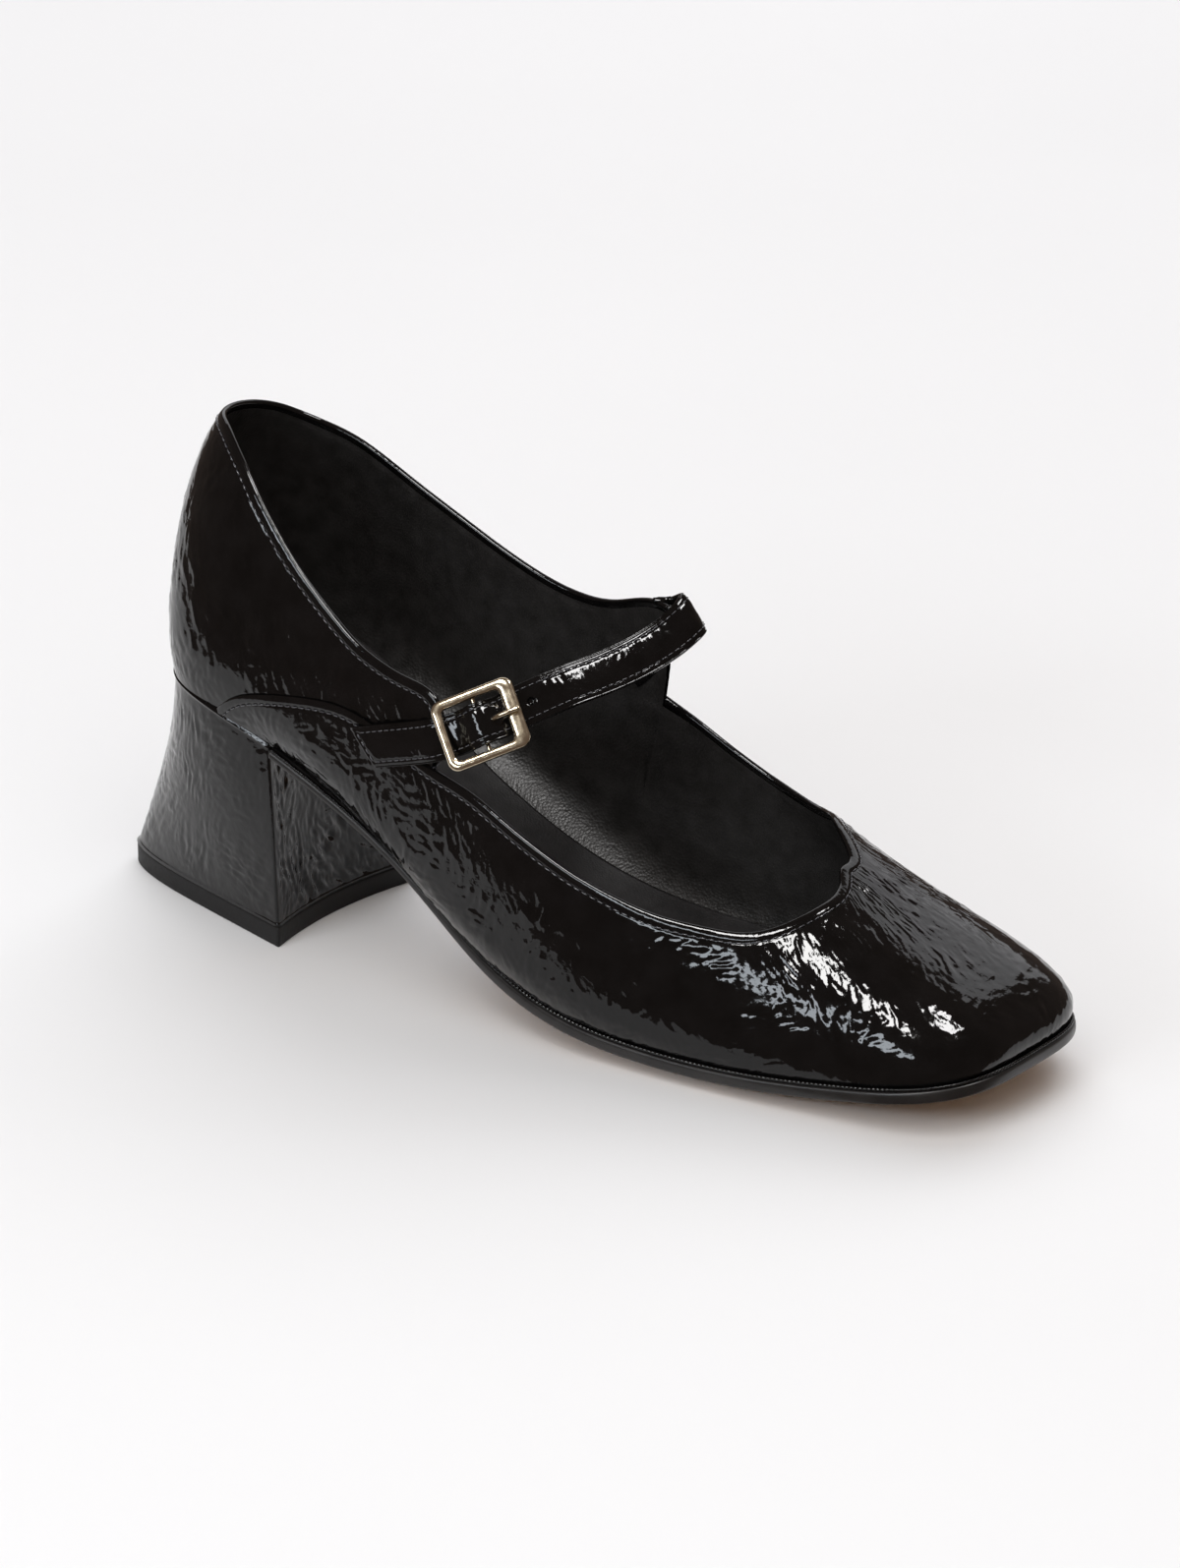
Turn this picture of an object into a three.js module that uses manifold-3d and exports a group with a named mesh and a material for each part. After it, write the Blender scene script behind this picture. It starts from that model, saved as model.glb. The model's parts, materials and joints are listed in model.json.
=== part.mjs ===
// A right-foot mary jane pump: patent upper with a bound throat, instep strap with a
// rectangular buckle, thin outsole and a flared block heel.  Millimetres, +Z up.
// In the tables x runs forward from the back of the counter, y is towards the inner
// (medial) side of the foot and z is height above the floor.
import * as THREE from "three";
import { mergeVertices } from "three/addons/utils/BufferGeometryUtils.js";
import Module from "manifold-3d";

const wasm = await Module();
wasm.setup();

// ---------------------------------------------------------------- driving dimensions
const LENGTH = 246; // back of the counter to the toe
const GAP = 0.42; // air left between pieces
const WALL = 1.9; // upper leather with its lining

const HEEL_CAP = 34; // length of the rounded back of the plan
const HEEL_POWER = 2.25; // squareness of that back
const TOE_CAP = 32; // length of the rounded toe of the plan
const TOE_POWER = 3.4; // squareness of that toe
const SPINE_BACK = 32; // the wall's columns lean in to a spine from here
const SPINE_FRONT = 176; // to here

const TUCK_POWER = 2.5; // how sharply the wall tucks in near the feather line

const SOLE_THICK = 3; // at its edge
const SOLE_CROWN = 4; // thicker by this much in the middle of the forefoot
const CROWN_BACK = [95, 150]; // the crown grows between these
const CROWN_FRONT = [200, 240]; // and fades between these
const SOLE_MARGIN = 1.2; // outsole beyond the feather line
const SOLE_BACK = 43.9; // the outsole starts at the heel's breast
const INSOLE_THICK = 2.6;
const INSOLE_AIR = 0.4; // between insole and wall

const HEEL_TOP_FRONT = 43; // breast of the heel under the waist
const HEEL_FRONT = 45; // breast of the heel at the floor
const HEEL_BACK = -19.5; // back of the heel at the floor
const HEEL_HALF = 26; // half width at the breast, at the floor
const HEEL_INSET = 0.4; // heel inside the upper's feather line
const HEEL_HOLLOW = 3.2; // depth of the hollow breast
const HEEL_NARROW = 0.72; // the floor outline narrows by this share towards the back
const HEEL_BACK_POWER = 8; // and rounds off there
const HEEL_CURVE = 1.04; // the back flares more towards the floor
const LIFT_THICK = 5.2; // rubber top lift
const LIFT_PROUD = 0.5; // lift beyond the heel block
const ORIGIN_X = 16; // the part's origin, under the middle of the heel

const STRAP_WIDTH = 10.4;
const STRAP_THICK = 1.6;
const STRAP_CORNER = 0.35;
const STRAP_AIR = 0.8; // under the strap where it lies on the wall
const TAIL_SLANT = 0.55; // the lower edge of the tail is cut back by this times the width
const END_SLANT = -0.4; // the same at the sewn end, the other way
const SLANT_FADE = 14; // the cuts square up over this length
const BUCKLE_LENGTH = 20.5;
const BUCKLE_WIDTH = 17.6;
const BUCKLE_BAR = 2.3;
const BUCKLE_FRONT_BAR = 3.6;
const BUCKLE_THICK = 1.6;
const BUCKLE_CORNER = 2.6;
const BUCKLE_BEVEL = 0.35;
const BUCKLE_RISE = 1.7; // middle of the frame above the middle of the strap's path
const CENTRE_BAR_RADIUS = 0.5;
const CENTRE_BAR_DROP = 0.8; // centre bar under the middle of the frame
const HUMP_HEIGHT = 2.6; // the strap's rise over the centre bar
const HUMP_REACH = 6.2; // from the centre bar to where the strap lies flat
const PRONG_RADIUS = 0.55;
const PRONG_HOLE_START = 0.5; // the strap's hole starts this far behind the prong
const CENTRE_BAR_SIDES = 16;
const PRONG_STEPS = 20;

const AROUND = 46; // columns on each side of the upper
const UP = 10; // rows up the upper
const PLAN_STEP = 0.004; // share of the plan used to find its direction
const LEAN_POWER = 1.6; // the wings' columns lean mostly near their tops
const PLATE_STATIONS = 34; // along the outsole and the insole
const PLATE_PLACES = 9; // across them
const PLATE_TIP = 0.012; // share of the plan left off at a plate's tip
const PLAN_POINTS = 120; // along each stretch of the plan
const WALL_POINTS = 70; // up a column of the last
const HOLLOW_STATIONS = 5; // stations over which the outsole's hollow back edge fades
const HEEL_POINTS = 22; // on each half of the heel's outline
const BREAST_POINTS = 12;
const HEEL_LEVELS = 6;
const STRAP_STATIONS = 60;

// Cross-sections of the last: centre and half width of the plan, heights of the feather
// line and of the ridge, the powers of the side's curve outwards and upwards, and how far
// and how high the wall tucks in above the feather line.
const SECTIONS = [
  { x: 0, centre: 0, half: 30, feather: 62, ridge: 138, out: 2.5, up: 2.1, tuck: 1.2, bulge: 20 },
  { x: 25, centre: 0.5, half: 30, feather: 58.6, ridge: 136, out: 2.5, up: 2.1, tuck: 2.5, bulge: 20 },
  { x: 50, centre: 0, half: 30.5, feather: 48.5, ridge: 134, out: 2.5, up: 2.2, tuck: 5.5, bulge: 18 },
  { x: 80, centre: -1.5, half: 31.5, feather: 32.5, ridge: 124, out: 2.7, up: 2.4, tuck: 8, bulge: 16 },
  { x: 110, centre: -2, half: 34.5, feather: 16.5, ridge: 113, out: 2.7, up: 2.4, tuck: 7.5, bulge: 14 },
  { x: 140, centre: -1, half: 37.8, feather: 8.4, ridge: 88, out: 2.6, up: 2.3, tuck: 5, bulge: 12 },
  { x: 165, centre: 1.4, half: 38.6, feather: 6.4, ridge: 64, out: 2.4, up: 2.1, tuck: 3.5, bulge: 11 },
  { x: 190, centre: 3, half: 37.5, feather: 6.8, ridge: 48, out: 2.4, up: 2, tuck: 2.5, bulge: 10 },
  { x: 215, centre: 3.8, half: 35, feather: 9.4, ridge: 38.5, out: 2.6, up: 2.1, tuck: 2, bulge: 10 },
  { x: 246, centre: 2, half: 30.8, feather: 14.6, ridge: 33, out: 2.8, up: 2.2, tuck: 2, bulge: 9 },
];

// The topline, as columns of the wall: where each column starts on the feather line and
// where it ends, both as a fraction of the way from the counter to the toe, and its rise
// up the wall.  A column that ends ahead of its start leans forward: the wings do.
const OUTER_TOPLINE = [
  { foot: 0, top: 0, rise: 66.1 },
  { foot: 0.08, top: 0.08, rise: 67.2 },
  { foot: 0.137, top: 0.137, rise: 63.4 },
  { foot: 0.2, top: 0.2, rise: 56 },
  { foot: 0.25, top: 0.25, rise: 52.1 },
  { foot: 0.305, top: 0.31, rise: 50.9 },
  { foot: 0.335, top: 0.358, rise: 54.5 },
  { foot: 0.353, top: 0.4, rise: 59.7 },
  { foot: 0.363, top: 0.412, rise: 59 },
  { foot: 0.372, top: 0.415, rise: 48.4 },
  { foot: 0.381, top: 0.393, rise: 41 },
  { foot: 0.454, top: 0.456, rise: 44.6 },
  { foot: 0.504, top: 0.504, rise: 42.7 },
  { foot: 0.58, top: 0.58, rise: 37.7 },
  { foot: 0.662, top: 0.662, rise: 33.8 },
  { foot: 0.736, top: 0.736, rise: 33.8 },
  { foot: 0.79, top: 0.79, rise: 38.6 },
  { foot: 0.831, top: 0.831, rise: 44.7 },
  { foot: 0.874, top: 0.874, rise: 53.1 },
  { foot: 0.933, top: 0.933, rise: 62 },
  { foot: 1, top: 1, rise: 65.2 },
];
const INNER_TOPLINE = [
  { foot: 0, top: 0, rise: 66.1 },
  { foot: 0.06, top: 0.06, rise: 64.4 },
  { foot: 0.13, top: 0.13, rise: 59.6 },
  { foot: 0.21, top: 0.21, rise: 58.2 },
  { foot: 0.3, top: 0.3, rise: 61.5 },
  { foot: 0.36, top: 0.37, rise: 66 },
  { foot: 0.395, top: 0.42, rise: 71.4 },
  { foot: 0.415, top: 0.465, rise: 78.7 },
  { foot: 0.428, top: 0.505, rise: 85.8 },
  { foot: 0.437, top: 0.533, rise: 81.1 },
  { foot: 0.445, top: 0.48, rise: 64 },
  { foot: 0.453, top: 0.458, rise: 55.8 },
  { foot: 0.51, top: 0.51, rise: 53.6 },
  { foot: 0.56, top: 0.56, rise: 48.8 },
  { foot: 0.614, top: 0.614, rise: 45.4 },
  { foot: 0.659, top: 0.659, rise: 44.7 },
  { foot: 0.698, top: 0.698, rise: 47.1 },
  { foot: 0.747, top: 0.747, rise: 53.3 },
  { foot: 0.81, top: 0.81, rise: 60.5 },
  { foot: 0.874, top: 0.874, rise: 65.3 },
  { foot: 0.941, top: 0.941, rise: 67 },
  { foot: 1, top: 1, rise: 65.2 },
];

// The strap's middle line.  Its tail lies on the outer wall and its other end on the
// inner wing, at places given as on the topline.  Between them it hangs free: a point
// of the middle line and the way that its face looks.
const STRAP_TAIL = [
  { at: 0.333, rise: 31.1 },
  { at: 0.36, rise: 38.1 },
  { at: 0.388, rise: 45.1 },
  { at: 0.416, rise: 52 },
];
const STRAP_OVER = [
  { x: 111.2, y: -29.4, z: 74.2, nx: 0.3, ny: -0.82, nz: 0.49 },
  { x: 117.3, y: -21.5, z: 78.2, nx: 0.42, ny: -0.74, nz: 0.52 },
  { x: 122.2, y: -12, z: 80.8, nx: 0.58, ny: -0.45, nz: 0.68 },
  { x: 126, y: -2, z: 82.3, nx: 0.66, ny: -0.3, nz: 0.69 },
  { x: 129, y: 8, z: 84.2, nx: 0.68, ny: -0.2, nz: 0.7 },
  { x: 131.6, y: 17, z: 87.2, nx: 0.66, ny: -0.1, nz: 0.75 },
  { x: 132.6, y: 22.6, z: 89.9, nx: 0.58, ny: 0.35, nz: 0.74 },
  { x: 131.2, y: 25.4, z: 90.4, nx: 0.3, ny: 0.85, nz: 0.43 },
  { x: 128, y: 25.4, z: 89, nx: 0.15, ny: 0.93, nz: 0.34 },
];
const STRAP_END = [{ at: 0.517, rise: 82.4 }];
const BUCKLE_PLACE = 0.335; // of the strap's length from its tail

// The prong, in the buckle's frame: along the strap from the centre bar, and height
// above the middle of the frame.
const PRONG_LINE = [
  { along: 1.1, height: -0.75 },
  { along: 2.2, height: -0.25 },
  { along: 3.6, height: 0.65 },
  { along: 5.2, height: 1.5 },
  { along: 7, height: 1.8 },
  { along: 10.4, height: 1.75 },
];

// ---------------------------------------------------------------- curves and frames
// A natural cubic spline through one column of a table.
function spline(rows, key, column) {
  const xs = rows.map((row) => row[key]);
  const ys = rows.map((row) => row[column]);
  const n = xs.length;
  const bend = new Array(n).fill(0);
  const scratch = new Array(n).fill(0);
  for (let i = 1; i < n - 1; i++) {
    const part = (xs[i] - xs[i - 1]) / (xs[i + 1] - xs[i - 1]);
    const pivot = part * bend[i - 1] + 2;
    bend[i] = (part - 1) / pivot;
    const turn =
      (ys[i + 1] - ys[i]) / (xs[i + 1] - xs[i]) - (ys[i] - ys[i - 1]) / (xs[i] - xs[i - 1]);
    scratch[i] = ((6 * turn) / (xs[i + 1] - xs[i - 1]) - part * scratch[i - 1]) / pivot;
  }
  for (let i = n - 2; i >= 0; i--) bend[i] = bend[i] * bend[i + 1] + scratch[i];
  return (value) => {
    const x = Math.min(Math.max(value, xs[0]), xs[n - 1]);
    let i = 0;
    while (i < n - 2 && x > xs[i + 1]) i++;
    const h = xs[i + 1] - xs[i];
    const a = (xs[i + 1] - x) / h;
    const b = (x - xs[i]) / h;
    const curve = ((a ** 3 - a) * bend[i] + (b ** 3 - b) * bend[i + 1]) * ((h * h) / 6);
    return a * ys[i] + b * ys[i + 1] + curve;
  };
}

// A curve through one column of a table that never overshoots its rows.
function gentle(rows, key, column) {
  const xs = rows.map((row) => row[key]);
  const ys = rows.map((row) => row[column]);
  const n = xs.length;
  const steps = xs.slice(1).map((x, i) => (ys[i + 1] - ys[i]) / (x - xs[i]));
  const slopes = xs.map((_, i) => {
    if (i === 0) return 0;
    if (i === n - 1) return 0;
    if (steps[i - 1] * steps[i] <= 0) return 0;
    return (2 * steps[i - 1] * steps[i]) / (steps[i - 1] + steps[i]);
  });
  return (value) => {
    const x = Math.min(Math.max(value, xs[0]), xs[n - 1]);
    let i = 0;
    while (i < n - 2 && x > xs[i + 1]) i++;
    const h = xs[i + 1] - xs[i];
    const t = (x - xs[i]) / h;
    const start = (1 + 2 * t) * (1 - t) ** 2 * ys[i] + t * (1 - t) ** 2 * h * slopes[i];
    return start + t * t * (3 - 2 * t) * ys[i + 1] + t * t * (t - 1) * h * slopes[i + 1];
  };
}

const mix = (a, b, t) => a + (b - a) * t;

function atLength(lengths, points, wanted) {
  let i = 1;
  while (i < lengths.length - 1 && lengths[i] < wanted) i++;
  const t = (wanted - lengths[i - 1]) / Math.max(lengths[i] - lengths[i - 1], 1e-9);
  const from = points[i - 1];
  return points[i].map((value, k) => mix(from[k], value, Math.min(Math.max(t, 0), 1)));
}

function runningLengths(points) {
  const lengths = [0];
  for (let i = 1; i < points.length; i++) {
    const step = points[i].map((value, k) => value - points[i - 1][k]);
    lengths.push(lengths[i - 1] + Math.hypot(...step));
  }
  return lengths;
}

// ---------------------------------------------------------------- the last
const section = {};
for (const column of ["centre", "half", "feather", "ridge", "out", "up", "tuck", "bulge"])
  section[column] = spline(SECTIONS, "x", column);

// Half of the plan, from the counter to the toe: side is -1 for the outer half.
function halfPlan(side) {
  const steps = PLAN_POINTS;
  const plan = [];
  const add = (x, width) => plan.push([x, section.centre(x) + side * section.half(x) * width]);
  for (let i = 0; i <= steps; i++) {
    const turn = ((Math.PI / 2) * i) / steps;
    add(HEEL_CAP * (1 - Math.cos(turn) ** (2 / HEEL_POWER)), Math.sin(turn) ** (2 / HEEL_POWER));
  }
  for (let i = 1; i < steps; i++) add(mix(HEEL_CAP, LENGTH - TOE_CAP, i / steps), 1);
  for (let i = 0; i <= steps; i++) {
    const turn = ((Math.PI / 2) * i) / steps;
    const reach = TOE_CAP * Math.sin(turn) ** (2 / TOE_POWER);
    const width = Math.max(Math.cos(turn), 0) ** (2 / TOE_POWER);
    add(LENGTH - TOE_CAP + reach, width);
  }
  return { plan, lengths: runningLengths(plan) };
}
const PLAN = { "-1": halfPlan(-1), 1: halfPlan(1) };

function planPoint(at, side) {
  const { plan, lengths } = PLAN[side];
  return atLength(lengths, plan, at * lengths[lengths.length - 1]);
}

// A point of the last's side: climb is 0 on the feather line and a quarter turn on the ridge.
function sidePoint(at, side, climb) {
  const [cx, cy] = planPoint(at, side);
  const sx = mix(SPINE_BACK, SPINE_FRONT, cx / LENGTH);
  const sy = section.centre(sx);
  const outwards = Math.max(Math.cos(climb), 0) ** (2 / section.out(cx));
  const upwards = Math.sin(climb) ** (2 / section.up(cx));
  const px = mix(sx, cx, outwards);
  const py = mix(sy, cy, outwards);
  const low = section.feather(cx);
  const z = mix(low, section.ridge(px), upwards);
  const reach = Math.hypot(sx - cx, sy - cy);
  const tuck = section.tuck(cx) * Math.max(1 - (z - low) / section.bulge(cx), 0) ** TUCK_POWER;
  return [px + (tuck * (sx - cx)) / reach, py + (tuck * (sy - cy)) / reach, z];
}

// The point of the last a given distance up its side.
function wallPoint(at, side, rise) {
  const column = [];
  for (let i = 0; i <= WALL_POINTS; i++)
    column.push(sidePoint(at, side, ((Math.PI / 2) * i) / WALL_POINTS));
  return atLength(runningLengths(column), column, rise);
}

function wallNormal(at, side, rise) {
  const ahead = new THREE.Vector3(...wallPoint(at + PLAN_STEP, side, rise));
  const behind = new THREE.Vector3(...wallPoint(at - PLAN_STEP, side, rise));
  const above = new THREE.Vector3(...wallPoint(at, side, rise + 1));
  const below = new THREE.Vector3(...wallPoint(at, side, rise - 1));
  return ahead.sub(behind).cross(above.sub(below)).multiplyScalar(-side).normalize();
}

// The feather line: where the wall meets the sole, moved out by a margin.
function featherPoint(at, side, margin) {
  const [x, y] = sidePoint(at, side, 0);
  const ahead = sidePoint(at + PLAN_STEP, side, 0);
  const behind = sidePoint(at - PLAN_STEP, side, 0);
  const runX = ahead[0] - behind[0];
  const runY = ahead[1] - behind[1];
  const reach = (side * margin) / Math.hypot(runX, runY);
  return [x - runY * reach, y + runX * reach];
}

// ---------------------------------------------------------------- making solids
// A closed mesh from points and triangles, its faces turned outwards.
function geometryFrom(points, faces) {
  const corner = (index) => new THREE.Vector3(...points[index]);
  let volume = 0;
  for (let i = 0; i < faces.length; i += 3)
    volume += corner(faces[i]).dot(corner(faces[i + 1]).cross(corner(faces[i + 2])));
  const geometry = new THREE.BufferGeometry();
  geometry.setAttribute("position", new THREE.Float32BufferAttribute(points.flat(), 3));
  geometry.setIndex(volume < 0 ? [...faces].reverse() : faces);
  geometry.computeVertexNormals();
  return geometry;
}

function solidFrom(geometry) {
  const bare = geometry.clone();
  bare.deleteAttribute("normal");
  bare.deleteAttribute("uv");
  const merged = mergeVertices(bare, 1e-4);
  const mesh = new wasm.Mesh({
    numProp: 3,
    vertProperties: merged.attributes.position.array,
    triVerts: new Uint32Array(merged.index.array),
  });
  return new wasm.Manifold(mesh);
}

function geometryOf(solid) {
  const mesh = solid.getMesh();
  const geometry = new THREE.BufferGeometry();
  geometry.setAttribute("position", new THREE.BufferAttribute(mesh.vertProperties, 3));
  geometry.setIndex(new THREE.BufferAttribute(mesh.triVerts, 1));
  geometry.computeVertexNormals();
  return geometry;
}

// The faces between a stack of closed rings, each with the same number of points.
function skinFaces(ringCount, count, closed) {
  const faces = [];
  const spans = closed ? ringCount : ringCount - 1;
  for (let r = 0; r < spans; r++)
    for (let i = 0; i < count; i++) {
      const a = r * count + i;
      const b = r * count + ((i + 1) % count);
      const over = (((r + 1) % ringCount) - r) * count;
      faces.push(a, b, b + over, a, b + over, a + over);
    }
  return faces;
}

// A stack of rings whose two ends are closed by a fan about a middle point.
function ringSolid(rings, startMiddle, endMiddle) {
  const count = rings[0].length;
  const points = [...rings.flat(), startMiddle, endMiddle];
  const faces = skinFaces(rings.length, count, false);
  const last = (rings.length - 1) * count;
  for (let i = 0; i < count; i++) {
    const next = (i + 1) % count;
    faces.push(points.length - 2, next, i);
    faces.push(points.length - 1, last + i, last + next);
  }
  return geometryFrom(points, faces);
}

// A plate between two matching grids of points, rows[station][place].
function plateSolid(upper, lower) {
  const rows = upper.length;
  const places = upper[0].length;
  const under = rows * places;
  const faces = [];
  const quad = (a, b, c, d) => faces.push(a, b, c, a, c, d);
  for (let r = 0; r < rows - 1; r++)
    for (let i = 0; i < places - 1; i++) {
      const a = r * places + i;
      quad(a, a + places, a + places + 1, a + 1);
      quad(under + a, under + a + 1, under + a + places + 1, under + a + places);
    }
  const edge = [];
  for (let r = 0; r < rows; r++) edge.push(r * places);
  for (let i = 1; i < places; i++) edge.push((rows - 1) * places + i);
  for (let r = rows - 2; r >= 0; r--) edge.push(r * places + places - 1);
  for (let i = places - 2; i > 0; i--) edge.push(i);
  edge.forEach((a, i) => {
    const b = edge[(i + 1) % edge.length];
    quad(a, a + under, b + under, b);
  });
  return geometryFrom([...upper.flat(), ...lower.flat()], faces);
}

// ---------------------------------------------------------------- the upper
// Places of the columns along the feather line: evenly spaced, and on every table row.
function columnFeet(rows) {
  const feet = [rows[0].foot];
  for (let i = 1; i < rows.length; i++) {
    const span = rows[i].foot - rows[i - 1].foot;
    const parts = Math.max(Math.round(span * AROUND), 1);
    for (let k = 1; k <= parts; k++) feet.push(rows[i - 1].foot + (span * k) / parts);
  }
  return feet;
}

// The wall as one closed band: the outer half runs forwards and the inner half back.
function upperGeometry() {
  const outside = [];
  const lining = [];
  for (const side of [-1, 1]) {
    const rows = side < 0 ? OUTER_TOPLINE : INNER_TOPLINE;
    const top = gentle(rows, "foot", "top");
    const rise = gentle(rows, "foot", "rise");
    const feet = columnFeet(rows);
    if (side > 0) feet.reverse();
    for (const foot of feet.slice(0, -1)) {
      const face = [];
      const back = [];
      for (let v = 0; v <= UP; v++) {
        const climb = v / UP;
        const at = mix(foot, top(foot), climb ** LEAN_POWER);
        const normal = wallNormal(at, side, climb * rise(foot));
        if (v === 0) normal.z = 0;
        normal.setLength(WALL);
        const point = new THREE.Vector3(...wallPoint(at, side, climb * rise(foot)));
        const behind = point.clone().sub(normal);
        if (v === 0) point.z = section.feather(point.x);
        if (v === 0) behind.z = section.feather(behind.x);
        face.push(point.toArray());
        back.push(behind.toArray());
      }
      outside.push(face);
      lining.push(back);
    }
  }
  const loops = [];
  for (let v = 0; v <= UP; v++) loops.push(outside.map((column) => column[v]));
  for (let v = UP; v >= 0; v--) loops.push(lining.map((column) => column[v]));
  return geometryFrom(loops.flat(), skinFaces(loops.length, outside.length, true));
}

// ---------------------------------------------------------------- sole and insole
const hollow = (across) => HEEL_HOLLOW * (1 - across * across); // across runs from -1 to 1

// A row of places across the plan, between the same share of both halves.
function plateRow(at, margin, pullBack, heightAt) {
  const outer = featherPoint(at, -1, margin);
  const inner = featherPoint(at, 1, margin);
  const row = [];
  for (let i = 0; i < PLATE_PLACES; i++) {
    const t = i / (PLATE_PLACES - 1);
    const x = mix(outer[0], inner[0], t) - pullBack * hollow(2 * t - 1);
    row.push([x, mix(outer[1], inner[1], t), heightAt(x, 2 * t - 1)]);
  }
  return row;
}

// Stations crowd towards both ends, where the plan turns fastest.
function stations(from, to) {
  const list = [];
  for (let i = 0; i <= PLATE_STATIONS; i++)
    list.push(mix(from, to, (1 - Math.cos((Math.PI * i) / PLATE_STATIONS)) / 2));
  return list;
}

// The share of the way to the toe at which the feather line passes a given x.
function shareAt(x) {
  let low = 0;
  let high = 0.5;
  for (let i = 0; i < 30; i++) {
    const middle = (low + high) / 2;
    if (featherPoint(middle, -1, 0)[0] < x) low = middle;
    else high = middle;
  }
  return (low + high) / 2;
}

function outsoleGeometry() {
  const top = (x) => section.feather(x) - GAP;
  const grown = (x) => THREE.MathUtils.smoothstep(x, ...CROWN_BACK);
  const faded = (x) => THREE.MathUtils.smoothstep(x, ...CROWN_FRONT);
  const crown = (x) => SOLE_CROWN * grown(x) * (1 - faded(x));
  const bottom = (x, across) =>
    Math.max(top(x) - SOLE_THICK - crown(x) * (1 - across * across), 0);
  const list = stations(shareAt(SOLE_BACK), 1 - PLATE_TIP);
  const pull = (i) => Math.max(1 - i / HOLLOW_STATIONS, 0);
  const upper = list.map((at, i) => plateRow(at, SOLE_MARGIN, pull(i), top));
  const lower = list.map((at, i) => plateRow(at, SOLE_MARGIN, pull(i), bottom));
  return plateSolid(upper, lower);
}

function insoleGeometry() {
  const inset = -(WALL + INSOLE_AIR);
  const list = stations(PLATE_TIP, 1 - PLATE_TIP);
  const upper = list.map((at) => plateRow(at, inset, 0, (x) => section.feather(x) + INSOLE_THICK));
  const lower = list.map((at) => plateRow(at, inset, 0, (x) => section.feather(x)));
  return plateSolid(upper, lower);
}

// ---------------------------------------------------------------- the heel
// Outline of the heel at the floor: share runs from -1 at the outer front corner, round
// the back, to 1 at the inner front corner.
function heelFloor(share, proud) {
  const back = 1 - share * share;
  const length = HEEL_FRONT - HEEL_BACK + 2 * proud;
  const rounding = Math.sqrt(1 - back ** HEEL_BACK_POWER);
  const half = (HEEL_HALF + proud) * (1 - HEEL_NARROW * back) * rounding;
  return [HEEL_FRONT + proud - length * back, half * Math.sign(share)];
}

// Outline of the heel under the seat: just inside the feather line.
function heelSeat(share) {
  const at = shareAt(HEEL_TOP_FRONT) * Math.abs(share);
  return featherPoint(at, share < 0 ? -1 : 1, -HEEL_INSET);
}

// A closed outline: round the back, then across the hollow breast.
function heelOutline(edge) {
  const outline = [];
  for (let i = -HEEL_POINTS; i <= HEEL_POINTS; i++) outline.push(edge(i / HEEL_POINTS));
  const [innerX, innerY] = edge(1);
  const [outerX, outerY] = edge(-1);
  for (let i = 1; i < BREAST_POINTS; i++) {
    const t = i / BREAST_POINTS;
    outline.push([mix(innerX, outerX, t) - hollow(2 * t - 1), mix(innerY, outerY, t)]);
  }
  return outline;
}

function heelGeometry() {
  const floor = heelOutline((share) => heelFloor(share, 0));
  const seat = heelOutline(heelSeat);
  const base = LIFT_THICK + GAP;
  const seatHeight = (x) => section.feather(x) - GAP;
  const rings = [];
  for (let level = 0; level <= HEEL_LEVELS; level++) {
    const climb = level / HEEL_LEVELS;
    const blend = 1 - (1 - climb) ** HEEL_CURVE;
    rings.push(
      floor.map(([x, y], i) => [
        mix(x, seat[i][0], blend),
        mix(y, seat[i][1], blend),
        mix(base, seatHeight(seat[i][0]), climb),
      ]),
    );
  }
  const middle = (HEEL_FRONT + HEEL_BACK) / 2;
  const under = [middle, 0, base];
  const over = [HEEL_TOP_FRONT / 2, 0, seatHeight(HEEL_TOP_FRONT / 2)];
  return ringSolid(rings, under, over);
}

function liftGeometry() {
  const outline = heelOutline((share) => heelFloor(share, LIFT_PROUD));
  const rings = [0, LIFT_THICK].map((z) => outline.map(([x, y]) => [x, y, z]));
  const middle = (HEEL_FRONT + HEEL_BACK) / 2;
  return ringSolid(rings, [middle, 0, 0], [middle, 0, LIFT_THICK]);
}

// ---------------------------------------------------------------- strap and buckle
// The strap's middle line and the way its face looks, as two curves over the same rows.
function strapCurves() {
  const middle = [];
  const looks = [];
  const onWall = (side) => (place) => {
    const normal = wallNormal(place.at, side, place.rise);
    const point = new THREE.Vector3(...wallPoint(place.at, side, place.rise));
    middle.push(point.addScaledVector(normal, STRAP_AIR + STRAP_THICK / 2));
    looks.push(normal);
  };
  STRAP_TAIL.forEach(onWall(-1));
  for (const row of STRAP_OVER) {
    middle.push(new THREE.Vector3(row.x, row.y, row.z));
    looks.push(new THREE.Vector3(row.nx, row.ny, row.nz).normalize());
  }
  STRAP_END.forEach(onWall(1));
  const line = new THREE.CatmullRomCurve3(middle);
  const look = new THREE.CatmullRomCurve3(looks);
  return { line, look };
}

// A frame on the strap: where it is, which way it runs, its face and its width.
function strapFrame({ line, look }, share) {
  const t = line.getUtoTmapping(share);
  const along = line.getTangent(t).normalize();
  const out = look.getPoint(t);
  out.addScaledVector(along, -out.dot(along)).normalize();
  const across = new THREE.Vector3().crossVectors(along, out);
  return { middle: line.getPoint(t), along, out, across };
}

// The strap rises over the buckle's centre bar and lies flat again under its end bars.
function strapHump(fromBuckle) {
  const reach = Math.min(Math.abs(fromBuckle) / HUMP_REACH, 1);
  return (HUMP_HEIGHT * (1 + Math.cos(Math.PI * reach))) / 2;
}

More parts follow.
